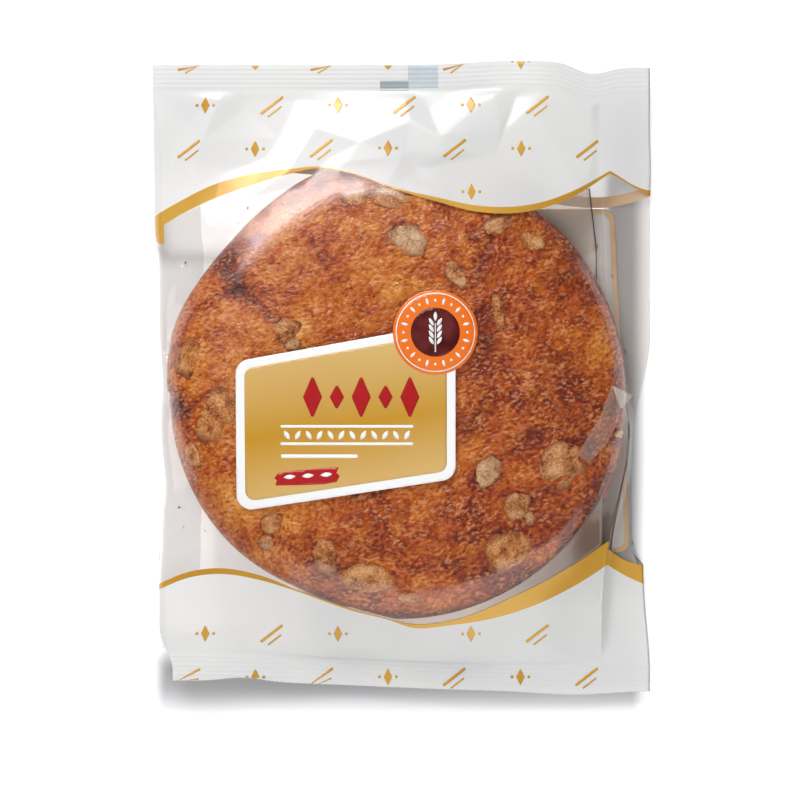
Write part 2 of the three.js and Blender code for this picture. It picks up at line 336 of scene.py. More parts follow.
@dataclass(frozen=True)
class EggWashedCrust(Finish):
    """Wheat dough brushed with egg and baked brown: glossy and mottled, with painted shade in its hollows
    and painted glints on its blisters.
    """

    name: str = "egg_washed_baked_crust"
    patch: float = 26.0  # size of the browner and more golden patches
    mottle: float = 5.0  # size of the mottles in them
    grain: float = 1.35  # size of the finest blisters of the egg wash
    fleck_turn: float = 38.0  # way that the blisters are drawn out, in degrees from +X
    tones: tuple[float, ...] = (0.0, 0.22, 0.5, 0.76, 1.0)  # of the browns below
    red: tuple[str, ...] = ("#5a1606", "#872a06", "#bd5512", "#da8336", "#f0ae6c")
    golden: tuple[str, ...] = ("#62200a", "#9b3e06", "#cd6b15", "#e4943a", "#f4bb72")
    # painted glint on the highest blisters, and painted shade in their pits
    tip: str = "#f2b176"
    pit: str = "#651d06"

    def surface(self, add: Adder) -> Socket:
        """Add the browns from the crust's own relief and finer noise, with painted glints on the blisters
        and painted shade in their pits.

        Args:
            add: Adds a node.

        Returns:
            The surface.
        """
        relief, shade = (add("Attribute", (), "Fac", attribute_name=name) for name in ("relief", "shade"))
        place = add("TexCoord", output="Object")
        cloud = {"Vector": place, "Detail": 1.0, "Distortion": 0.25}
        # painted light and shade: the raised wrinkles lighter and their hollows darker
        tone = add("Math.MULTIPLY_ADD", (relief, 0.2, -0.1))
        layers = ((self.patch, 0.85), (self.mottle * 1.6, 0.65), (self.mottle / 2.2, 0.6))
        for size, weight in layers:
            noise = add("TexNoise", {**cloud, "Scale": per_mm(size)})
            centred = add("Math.SUBTRACT", (noise, 0.5))
            tone = add("Math.MULTIPLY_ADD", (centred, weight, tone))
        # less the shade attribute: painted shade, with the crust's own darker and paler patches
        tone = add("MapRange", (add("Math.SUBTRACT", (tone, shade)), -0.47, 0.49))
        ramps = (tuple(zip(self.tones, browns)) for browns in (self.red, self.golden))
        colour, golden = (add("ValToRGB", (tone,), stops=stops) for stops in ramps)
        drift = add("MapRange", (add("TexNoise", {**cloud, "Scale": per_mm(self.patch * 0.7)}), 0.48, 0.66))
        turn = (0.0, 0.0, -math.radians(self.fleck_turn))
        drawn_out = add("Mapping", {"Vector": place, "Rotation": turn, "Scale": (0.62, 1.0, 1.0)})
        blister = add("TexNoise", {**cloud, "Vector": drawn_out, "Scale": per_mm(self.grain)})
        # painted glints on the highest blisters, and painted shade in the pits between them
        raised = add("Math.MULTIPLY_ADD", (relief, 0.16, blister))
        painted_glints = add("MapRange", (raised, 0.57, 0.80, 0.0, 0.55))
        group = add("TexNoise", {**cloud, "Scale": per_mm(9.0), "Detail": 2.0})
        painted_glints = add("Math.MULTIPLY", (painted_glints, add("MapRange", (group, 0.44, 0.58, 0.3))))
        pits = add("MapRange", (raised, 0.50, 0.28, 0.0, 0.7))
        for share, over in ((drift, golden), (painted_glints, linear(self.tip)), (pits, linear(self.pit))):
            colour = add("Mix", {0: share, 6: colour, 7: over}, 2, data_type="RGBA")
        bumps = add("Bump", {"Height": blister, "Distance": 1.0 * MM, "Strength": 1.0})
        inputs = {"Base Color": colour, "Roughness": 0.25, "IOR": 1.42, "Normal": bumps}
        return add("BsdfPrincipled", inputs)


@dataclass(frozen=True)
class SugarCrumb(Finish):
    """Baked flour, sugar and ground walnut: dull, tan and pitted, browner towards the crust."""

    name: str = "baked_sugar_and_walnut_crumb"
    grain: float = 1.0  # size of the sugar grains
    toasted: tuple = ((0.0, "#5a2206"), (0.3, "#a9581a"), (0.6, "#d08642"), (1.0, "#ecb278"))
    pale: tuple = ((0.0, "#7a4c2c"), (0.3, "#bb8c60"), (0.65, "#d8b289"), (1.0, "#f0d4b4"))
    burnt: str = "#8c461b"

    def surface(self, add: Adder) -> Socket:
        """Add grains with darker pits, paler lumps and toasted edges; the colour follows the grains' bump,
        so the pits are partly painted shade.

        Args:
            add: Adds a node.

        Returns:
            The surface.
        """
        place = {"Vector": add("TexCoord", output="Object"), "Detail": 3.0}
        grains = add("TexNoise", {**place, "Scale": per_mm(self.grain), "Roughness": 0.7})
        tint = add("TexNoise", {**place, "Scale": per_mm(5.5)})
        # the colour follows the bumps' height: the crumb's own darker pits, partly painted shade
        tone = add("MapRange", (add("Math.ADD", (grains, tint)), 0.74, 1.26))
        paleness, rim = (add("Attribute", (), "Fac", attribute_name=name) for name in ("pale", "rim"))
        ragged = add("Math.MULTIPLY_ADD", (tint, 0.9, rim))
        edge = add("MapRange", (ragged, 1.0, 1.35))
        colour = add("ValToRGB", (tone,), stops=self.toasted)
        pale = add("ValToRGB", (tone,), stops=self.pale)
        for share, over in ((paleness, pale), (edge, linear(self.burnt))):
            colour = add("Mix", {0: share, 6: colour, 7: over}, 2, data_type="RGBA")
        bumps = add("Bump", {"Height": grains, "Distance": 0.55 * MM, "Strength": 1.0})
        inputs = {"Base Color": colour, "Roughness": 0.68, "IOR": 1.45, "Normal": bumps}
        return add("BsdfPrincipled", inputs)


@dataclass(frozen=True)
class Patch:
    """A rectangle on the table with soft edges."""

    low: Point
    high: Point
    fade: Point  # distance over which its edge fades, across and up
    light: float = 0.0  # its glow, where it paints a pool of light

    def outside(self, add: Adder, axes: Sequence[Socket]) -> Socket:
        """Add the share that is 0 in the rectangle and 1 beyond its faded edge.

        Args:
            add: Adds a node.
            axes: X and Y in object space.

        Returns:
            The share.
        """
        squares = []
        for share, low, high, fade in zip(axes, self.low, self.high, self.fade):
            share = add("Math.ABSOLUTE", (add("Math.SUBTRACT", (share, (low + high) / 2 * MM)),))
            share = add("Math.MAXIMUM", (add("Math.SUBTRACT", (share, (high - low) / 2 * MM)), 0.0))
            share = add("Math.DIVIDE", (share, fade * MM))
            squares.append(add("Math.MULTIPLY", (share, share)))
        distance = add("Math.SQRT", (add("Math.ADD", squares),))
        return add("MapRange", (distance,), interpolation_type="SMOOTHSTEP")


@dataclass(frozen=True)
class LightTable(Finish):
    """The white acrylic top of a photographer's light table, lit a little from below.

    A grey patch without glow paints the pack's shadow round it, and brighter glowing patches beside the
    loaf paint pools of light.
    """

    name: str = "light_table_with_painted_shadow"
    colour: str = "#f6f7f8"
    # painted shadow: the grey, glowless patch under and round the pack
    painted_shadow_colour: str = "#b3b3b5"
    glow: float = 0.32  # the table's own light, where white paper in full light is 1
    painted_shadow: Patch = Patch((-104, -133.5), (101, 114), (8, 21))
    # painted pools of light: patches beside the loaf that glow brighter than the table
    light_pools: tuple[Patch, ...] = (
        Patch((-106, -112), (-86, 46), (15, 18), 0.95),
        Patch((-92, -112), (-50, -60), (12, 14), 0.75),
        Patch((-100, 62), (-30, 92), (14, 18), 1.15),
        Patch((62, 30), (88, 92), (5, 16), 1.2),
    )

    def surface(self, add: Adder) -> Socket:
        """Add matt acrylic with its glow, the painted shadow and the painted pools of light.

        Args:
            add: Adds a node.

        Returns:
            The surface.
        """
        place = add("TexCoord", output="Object")
        axes = [add("SeparateXYZ", (place,), axis) for axis in "XY"]
        # painted shadow: grey paint and no glow under and round the pack
        off_shadow = self.painted_shadow.outside(add, axes)
        glow = add("Math.MULTIPLY", (off_shadow, self.glow))
        # painted pools of light beside the loaf
        for light_pool in self.light_pools:
            inside = add("MapRange", (light_pool.outside(add, axes), 1.0, 0.0, 0.0, light_pool.light))
            glow = add("Math.MAXIMUM", (glow, inside))
        paint = add("ValToRGB", (off_shadow,), stops=((0.0, self.painted_shadow_colour), (1.0, self.colour)))
        light = {"Emission Color": linear("#ffffff"), "Emission Strength": glow}
        return add("BsdfPrincipled", {"Base Color": paint, "Roughness": 0.8, "IOR": 1.45, **light})


CLEAR = ClearFilm()
GOLD = FilmInk("bronze_gold_ink_on_film", "#c99331", "#dba948", 0.1, 0.2)
GOLD_FROM_BEHIND = FilmInk("bronze_gold_ink_from_behind", "#dcc0a0", "#d2ab85")
BRIGHT_WHITE = FilmInk("bright_white_ink", "#ffffff", "#fdfdfd")
GREY = FilmInk("grey_ink_on_film", "#9aa4a9", "#a9b2b8")


# Meshes


def as_points(x: Array, y: Array, z: Array) -> Array:
    """List places as points, one to a row."""
    return np.stack(np.broadcast_arrays(x, y, z), axis=-1).reshape(-1, 3)


def grid_faces(rows: int, columns: int) -> Array:
    """Give the quads of a grid of points laid out row by row, facing +Z."""
    first = (np.arange(rows - 1)[:, None] * columns + np.arange(columns - 1)).ravel()
    return np.stack([first, first + 1, first + columns + 1, first + columns], axis=1)


def grid_rim(rows: int, columns: int) -> list[int]:
    """List the points round such a grid, anticlockwise from its lower left."""
    grid = np.arange(rows * columns).reshape(rows, columns)
    return [*grid[0, :-1], *grid[:-1, -1], *grid[-1, :0:-1], *grid[:0:-1, 0]]


def bridge(outer: Sequence[int], inner: Sequence[int]) -> list[tuple[int, int, int]]:
    """Join two closed loops of points with a band of triangles.

    Args:
        outer: One loop's points, starting level with the other's.
        inner: The other loop's points, running the same way round.

    Returns:
        The triangles, which face away from a viewer who sees both loops run anticlockwise with
        the first one outside.
    """
    faces = []
    i = j = 0
    while i < len(outer) or j < len(inner):
        a, b = outer[i % len(outer)], inner[j % len(inner)]
        if (i + 1) * len(inner) <= (j + 1) * len(outer) and i < len(outer):
            faces.append((a, b, outer[(i + 1) % len(outer)]))
            i += 1
        else:
            faces.append((a, b, inner[(j + 1) % len(inner)]))
            j += 1
    return faces


@dataclass
class Mesh:
    """Points and faces gathered for one piece, with each face's material slot and shading."""

    points: list[Array] = field(default_factory=list)
    faces: list[Sequence[int]] = field(default_factory=list)
    slots: list[int] = field(default_factory=list)
    smooth: list[bool] = field(default_factory=list)
    count: int = 0

    def join(
        self, faces: Iterable[Sequence[int]], slots: int | Array = 0, first: int = 0, smooth: bool = True
    ) -> None:
        """Add faces between points that are there already.

        Args:
            faces: The faces.
            slots: One material slot for all of them, or one for each.
            first: The point that they count from.
            smooth: False where they are shaded flat.
        """
        new = [tuple(int(i) + first for i in face) for face in faces]
        self.faces += new
        self.slots += list(np.broadcast_to(slots, len(new)))
        self.smooth += [smooth] * len(new)

    def add(self, points: Array, faces: Iterable[Sequence[int]] = (), slots: int | Array = 0) -> int:
        """Add more points and faces.

        Args:
            points: The new points, in mm.
            faces: Faces that count from the first new point.
            slots: One material slot for all the new faces, or one for each.

        Returns:
            The first new point's number.
        """
        first = self.count
        self.points.append(np.asarray(points, float))
        self.count += len(points)
        self.join(faces, slots, first)
        return first

    def add_sheet(self, x: Array, y: Array, low: Array, thick: float, slot: int = 0) -> None:
        """Add a thin closed sheet over a grid of places.

        Args:
            x, y: The places.
            low: Height of its underside there.
            thick: Its thickness.
            slot: Its material slot.
        """
        under = as_points(x, y, low)
        count = len(under)
        faces = grid_faces(*x.shape)
        both = np.concatenate([under + np.array([0, 0, thick]), under])
        first = self.add(both, [*faces, *(faces[:, ::-1] + count)], slot)
        rim = grid_rim(*x.shape)
        walls = [(b, a, a + count, b + count) for a, b in zip(rim, rim[1:] + rim[:1])]
        self.join(walls, slot, first)

    def build(self, name: str, *finishes: Finish) -> Piece:
        """Make the piece's object, in metres.

        Args:
            name: The piece's name.
            *finishes: Its finish for each slot.

        Returns:
            The object, linked into the scene.
        """
        data = bpy.data.meshes.new(name)
        data.from_pydata((np.concatenate(self.points) * MM).tolist(), [], self.faces)
        for finish in finishes:
            data.materials.append(finish.build())
        data.polygons.foreach_set("material_index", np.array(self.slots, np.int32))
        data.polygons.foreach_set("use_smooth", self.smooth)
        data.update()
        piece = bpy.data.objects.new(name, data)
        bpy.context.scene.collection.objects.link(piece)
        return piece


def write_numbers(piece: Piece, name: str, values: Array) -> None:
    """Store one number for each point of a piece, for its material to read."""
    layer = piece.data.attributes.new(name, "FLOAT", "POINT")
    layer.data.foreach_set("value", np.asarray(values, np.float32))


# The form of the bag and the loaf


@dataclass(frozen=True)
class BagForm:
    """The bag's outline from above, its seals and its side folds."""

    width: float = 220.0  # across the sides
    length: float = 280.0  # over the seals
    top_seal: float = 11.0  # width
    bottom_seal: float = 12.5  # from the line that its ribs run along
    skew: float = 4.8  # how much higher the bottom edge is at its left end
    edge_height: float = 2.4  # of the side edges over the table
    fold_width: float = 4.4  # of the rounded fold down the left side
    fold_height: float = 9.0
    crease_height: float = 9.0  # of the gusset's crease on the right
    gusset_fall: float = 2.0  # how quickly the gusset drops outside its crease
    gusset_ease: float = 9.0  # how much more gently it drops at its top end
    seal_blend: float = 26.0  # distance over which a side fold rises to a seal
    rib_pitch: float = 2.0
    rib_count: int = 5  # in each seal
    rib_height: float = 0.26
    rib_starts: Point = (0.6, 2.2)  # from the cut edge to the first rib, at the top and bottom

    def left(self, y: Array) -> Array:
        """Give the left side's x at a height up the bag.

        Args:
            y: The heights.

        Returns:
            The x at each height.
        """
        lean = 2.9 * (self.length / 2 - y) / self.length
        pinch = ease((66 - y) / 12) * ease((y + 88) / 14)
        waist = bump((y + 2) / 12) + 1.7 * bump((y + 47) / 13)
        return -self.width / 2 + lean + pinch + waist + 6 * ease((-115 - y) / 20)

    def right(self, y: Array) -> Array:
        """Give the right side's x at a height up the bag."""
        lower, upper = 2.8 * ease((y + 132) / 46), 8 * ease((20 - y) / 52)
        return self.width / 2 - 0.5 + 0.5 * bump((y - 94) / 14) - mix(lower, upper, ease((y + 84) / 8))

    def top(self, x: Array) -> Array:
        """Give the top edge's y across the bag."""
        curled = 2.8 * bump((x - 84) / 8.5) + 1.3 * ease((x - 66) / 14)
        return self.length / 2 - 1.7 + 1.7 * bump((x - 50) / 24) - curled

    def bottom_line(self, x: Array) -> Array:
        """Give the y of the line that the bottom seal's ribs run along."""
        return -self.length / 2 + 1.8 + self.skew * (1 - ease((x + 104) / 165))

    def bottom(self, x: Array) -> Array:
        """Give the y of the bottom cut across the bag, which strays from that line."""
        return self.bottom_line(x) + 1.8 * bump((x + 70) / 12) - 1.8 * bump((x - 76) / 22)

    def crease(self, y: Array) -> Array:
        """Give the x of the gusset's crease at a height up the bag."""
        return 87.5 + 13 * bump((y + 26) / 40)

    def top_height(self, x: Array) -> Array:
        """Give the top seal's height, which curls up near its right end."""
        return 6.5 + 0.9 * np.sin(x / 27 + 0.6) + 3.6 * bump((x - 62) / 15)

    def bottom_height(self, x: Array) -> Array:
        """Give the bottom seal's height, which stands clear of the table at its left end."""
        return 4.0 + 3.2 * ease((-18 - x) / 70) + 0.7 * np.sin(x / 19)

    def side_height(self, x: Array, y: Array, middle: float) -> Array:
        """Give a side fold's height, which meets the seals at both ends.

        Args:
            x, y: The places.
            middle: The fold's height away from the seals.

        Returns:
            The fold's height at each place.
        """
        half, blend = self.length / 2, self.seal_blend
        to_top = ease((y - (half - self.top_seal - blend)) / blend)
        to_bottom = ease((-half + self.bottom_seal + blend - y) / blend)
        return mix(mix(middle, self.top_height(x), to_top), self.bottom_height(x), to_bottom)

    def ribs(self, x: Array, y: Array) -> Array:
        """Give the height of the ribs pressed into both seals.

        Args:
            x, y: The places.

        Returns:
            The height to add at each place, 0 away from the seals.
        """
        total = np.zeros(np.broadcast(x, y).shape)
        edges = (self.top(x) - y, y - self.bottom_line(x))
        for from_edge, start in zip(edges, self.rib_starts):
            along = (from_edge - start) / self.rib_pitch
            inside = (along >= 0) & (along <= self.rib_count)
            wave = self.rib_height / 2 * (1 - np.cos(2 * np.pi * along))
            total = total + np.where(inside, wave, 0)
        return total

    def place(self, zone: Array, share: Array, v: Array) -> tuple[Array, Array]:
        """Turn a place in the bag's own terms into x and y.

        Args:
            zone: 0 for the left fold, 1 for the middle, 2 for the gusset.
            share: How far through the zone, from its left side.
            v: How far up the bag, from -1 to 1.

        Returns:
            The x and y of each place.
        """
        zone, share, v = np.broadcast_arrays(zone, share, v)
        upright = v * self.length / 2
        left = self.left(upright)
        stops = np.stack([left, left + self.fold_width, self.crease(upright), self.right(upright)])
        start, end = (np.take_along_axis(stops, zone[None] + k, 0)[0] for k in (0, 1))
        x = mix(start, end, share)
        y = mix(self.bottom_line(x), self.top(x), (v + 1) / 2)
        to_cut = np.clip(1 - (v + 1) * self.length / 2 / self.rib_starts[1], 0, 1)
        return x, y + (self.bottom(x) - self.bottom_line(x)) * to_cut


@dataclass(frozen=True)
class Groove:
    """A furrow in the crust."""

    start: Point
    end: Point
    depth: float  # at the middle of the furrow
    width: float  # half its width

    def at(self, x: Array, y: Array) -> Array:
        """Give how deep in the furrow places are, from 0 beside it to 1."""
        return bump(distance_to(x, y, self.start, self.end) / self.width)


@dataclass(frozen=True)
class LoafForm:
    """The loaf's form: a flat dome with a round shoulder, uneven, dented at its upper left."""

    radius: float = 100.5
    height: float = 30.4
    centre: Point = (-2.0, -5.5)
    widest: float = 10.0  # height at which it is widest
    foot: float = 86.0  # radius
    foot_height: float = 0.9  # over the table, with film and seam below it
    power: float = 6.0  # how late the top turns down to the shoulder
    grooves: tuple[Groove, ...] = (
        Groove((-77, 51), (-71.5, 39), 2.4, 5),
        Groove((-71, 37.5), (-53, 22.5), 1.7, 3.2),
        Groove((-75, 38.5), (-91, 29.5), 1.5, 3),
        Groove((64, -22), (44, -34), 0.9, 3),
    )

    def outline(self, dx: Array, dy: Array) -> Array:
        """Give the loaf's radius in some directions.

        Args:
            dx, dy: Offsets from the middle, of any length.

        Returns:
            The radius in each direction.
        """
        angle = np.degrees(np.arctan2(dy, dx))
        swell = 3.6 * bump((angle + 42) / 26) + 2 * bump((angle - 108) / 14)
        swell += 2.2 * bump((angle - 166) / 14)
        return self.radius + swell - 3.4 * bump((angle + 112) / 20) - 1.8 * bump((angle - 138) / 18)

    def from_middle(self, x: Array, y: Array) -> tuple[Array, Array, Array]:
        """Give the offsets of places from the loaf's middle, and their distance, 1 at the rim."""
        dx, dy = x - self.centre[0], y - self.centre[1]
        return dx, dy, np.hypot(dx, dy) / self.outline(dx, dy)

    def dome(self, x: Array, y: Array) -> Array:
        """Give how far up its side the loaf stands at a place: 1 on top, 0 at the rim or beyond."""
        return np.sqrt(np.clip(1 - self.from_middle(x, y)[2] ** self.power, 0, 1))

    def top(self, x: Array, y: Array, furrowed: bool = True) -> Array:
        """Give the height of the loaf's top, 0 beyond the rim.

        Args:
            x, y: The places.
            furrowed: False where taut film bridges the dent and the furrows.

        Returns:
            The height without the fine wrinkles.
        """
        dx, dy, _ = self.from_middle(x, y)
        dome = self.dome(x, y)
        uneven = 0.9 * np.sin(dx / 31 + dy / 47) * np.cos(dy / 29 - dx / 63)
        rise = self.height - self.widest + uneven
        if furrowed:
            rise = rise - 3.2 * bump((dx + 63) / 13) * bump((dy - 47) / 15)
            for groove in self.grooves:
                rise = rise - groove.depth * groove.at(x, y)
        return np.where(dome > 0, self.widest + rise * dome, 0.0)


@dataclass(frozen=True)
class Nugget:
    """One lump of walnut and sugar baked into the crust."""

    at: Point
    size: Point
    turn: float = 0.0  # angle of its length from +X, in degrees
    stand: float = 1.5  # how far it stands out of the crust
    pale: float = 0.0  # from toasted at 0 to raw at 1

    def local(self, x: Array, y: Array, grow: float = 0.0) -> tuple[Array, Array]:
        """Give places in the lump's own terms.

        Args:
            x, y: The places.
            grow: How far its edge is moved out first.

        Returns:
            The places along its length and its width, with the edge at 1.
        """
        c, s = math.cos(math.radians(self.turn)), math.sin(math.radians(self.turn))
        dx, dy = x - self.at[0], y - self.at[1]
        length, width = (size / 2 + grow for size in self.size)
        return (dx * c + dy * s) / length, (dy * c - dx * s) / width


NUGGETS = tuple(Nugget(*row) for row in (
    ((-19, 79), (14, 7.5), -4, 0.9, 0.5), ((-4, 78.5), (21, 8.5), -10, 1, 0.3),
    ((3, 61), (16, 12), -40, 0.9, 0.9), ((41, 66.5), (11, 6.5), 15, 1.1, 0.3),
    ((57.5, 60), (8, 11), 70, 0.8, 0.1), ((23.5, 45), (13.5, 7), 122, 0.9, 0.3),
    ((41.5, 29), (16, 5), 100, 0.9, 0.1), ((-51, 21), (9, 11), 60, 1.3, 0.2),
    ((-47.5, 15), (7, 6), 0, 1, 0.6), ((-93.3, 8.5), (13, 11), 100, 1, 0),
    ((-82, -16.5), (25, 19), 24, 1.3, 0), ((-92, -33.5), (11, 6.5), 110, 0.9, 0.1),
    ((-57, -64), (10, 8), 20, 1.4, 0.1), ((-59.5, -71.5), (7, 6.5), 0, 0.9, 0.3),
    ((-33, -76.8), (11.5, 14), 20, 1.5, 0.1), ((-14, -87.8), (22, 13), -4, 1.5, 0.15),
    ((37, -41.6), (15, 10), 62, 1, 0.8), ((70.5, -38.5), (25, 17), 48, 1.3, 0.25),
    ((50.2, -56.1), (12.5, 9.5), 80, 1.4, 0.3), ((56, -61), (5.5, 5), 0, 1.2, 0.6),
    ((48.5, -75), (19, 18), 35, 1.6, 0.1), ((2.7, -96), (9, 6), 0, 0.7, 0.3),
    ((95.5, -24.4), (4.5, 4), 0, 1.5, 1),
))


@dataclass(frozen=True)
class Crease:
    """A fold in the film that runs straight between two places."""

    start: Point
    end: Point
    rise: float  # how far it stands up, or sinks where negative


CREASES = tuple(Crease(*row) for row in (
    # Across the top, from the left corner to the right
    ((-80, 124), (-88, 104), 1.6), ((-88, 104), (-103, 93), 1.4), ((-70, 120), (-54, 106), -1.2),
    ((-80, 90), (-60, 97), -1.2), ((-60, 97), (-54, 106), -1.2), ((-38, 110), (-18.5, 103.5), 1.5),
    ((-18.5, 103.5), (4, 113), 1.5), ((4, 113), (17, 106), 1.3), ((17, 106), (18.5, 98), 0.8),
    ((17, 106), (41, 125), 1.3), ((50, 124), (41, 99), -1.6), ((41, 99), (7, 92), -1),
    ((57, 119), (78, 85), 2), ((57, 119), (72, 125), 1.2), ((72, 125), (82, 122), 1.2),
    ((82, 122), (99, 109), 1.8), ((43, 109), (66, 94), 0.9),
    # Over the clear corner at the upper left
    ((-95, 61), (-95, 47), 1), ((-104, 55), (-93, 48), 0.8), ((-84, 66), (-68, 79), 1.3),
    ((-68, 79), (-50, 91), 1),
    # Over the right shoulder of the loaf
    ((95, -2), (80, -33), 1.6),
    # Across the bottom
    ((-63, -96), (-58, -106), 0.9), ((-45, -113), (-10, -109), 0.9), ((-10, -109), (-1, -103), 0.7),
    ((22, -112), (34, -119), 0.7), ((60, -98), (66, -117), 0.8),
))


@dataclass(frozen=True)
class Facets:
    """The flat facets that stiff film breaks into, between its creases and uneven corners."""

    pitch: float = 17.0  # mean distance between the corners away from the creases
    jitter: float = 6.0  # how far such a corner is moved at most
    rise: float = 0.5  # how far it stands up or sinks at most
    clear: float = 8.0  # least distance between such a corner and a crease
    seed: int = 5

    def _triangles(self, net: Net) -> tuple[Array, Array, list[list[int]]]:
        """Draw corners away from the creases, and join them and the creases' ends to triangles.

        Args:
            net: The net that they cover.

        Returns:
            The corners, their rises, and the triangles, which no crease crosses.
        """
        random = np.random.default_rng(self.seed)
        columns, rows = (math.ceil(half / self.pitch) + 1 for half in (net.half_x, net.half_y))
        across, up = np.meshgrid(np.arange(-columns, columns + 1), np.arange(-rows, rows + 1))
        corners = np.stack([across + (up % 2) / 2, up], axis=-1).reshape(-1, 2) * self.pitch
        corners = corners + random.uniform(-self.jitter, self.jitter, corners.shape)
        rises = random.uniform(-self.rise, self.rise, len(corners))
        away = [distance_to(*corners.T, crease.start, crease.end) for crease in CREASES]
        free = np.min(away, axis=0) > self.clear
        ends = {}
        for crease in CREASES:
            ends[crease.start] = ends[crease.end] = crease.rise
        heights = [*ends.values(), *rises[free]]
        index = {point: i for i, point in enumerate(ends)}
        edges = [(index[crease.start], index[crease.end]) for crease in CREASES]
        points = [Vector(point) for point in (*ends, *corners[free].tolist())]
        places, _, faces, origins, _, _ = delaunay_2d_cdt(points, edges, [], 0, 1e-6)
        raised = [heights[origin[0]] if origin else 0.0 for origin in origins]
        return np.array([place[:] for place in places]), np.array(raised), faces

    def build(self, net: Net) -> Array:
        """Give the height of the facets.

        Args:
            net: The net that they cover.

        Returns:
            The height at each knot.
        """
        corners, rises, faces = self._triangles(net)
        x, y = net.knots()
        height = np.zeros(net.shape)
        for face in faces:
            a, b, c = corners[list(face)]
            low, high = np.min([a, b, c], axis=0), np.max([a, b, c], axis=0)
            near = np.nonzero((x >= low[0]) & (x <= high[0]) & (y >= low[1]) & (y <= high[1]))
            area = (b[0] - a[0]) * (c[1] - a[1]) - (b[1] - a[1]) * (c[0] - a[0])
            px, py = x[near], y[near]
            u = ((px - a[0]) * (c[1] - a[1]) - (py - a[1]) * (c[0] - a[0])) / area
            v = ((b[0] - a[0]) * (py - a[1]) - (b[1] - a[1]) * (px - a[0])) / area
            inside = (u >= -1e-9) & (v >= -1e-9) & (u + v <= 1 + 1e-9)
            level = rises[face[0]] + u * (rises[face[1]] - rises[face[0]])
            level += v * (rises[face[2]] - rises[face[0]])
            height[near[0][inside], near[1][inside]] = level[inside]
        return height


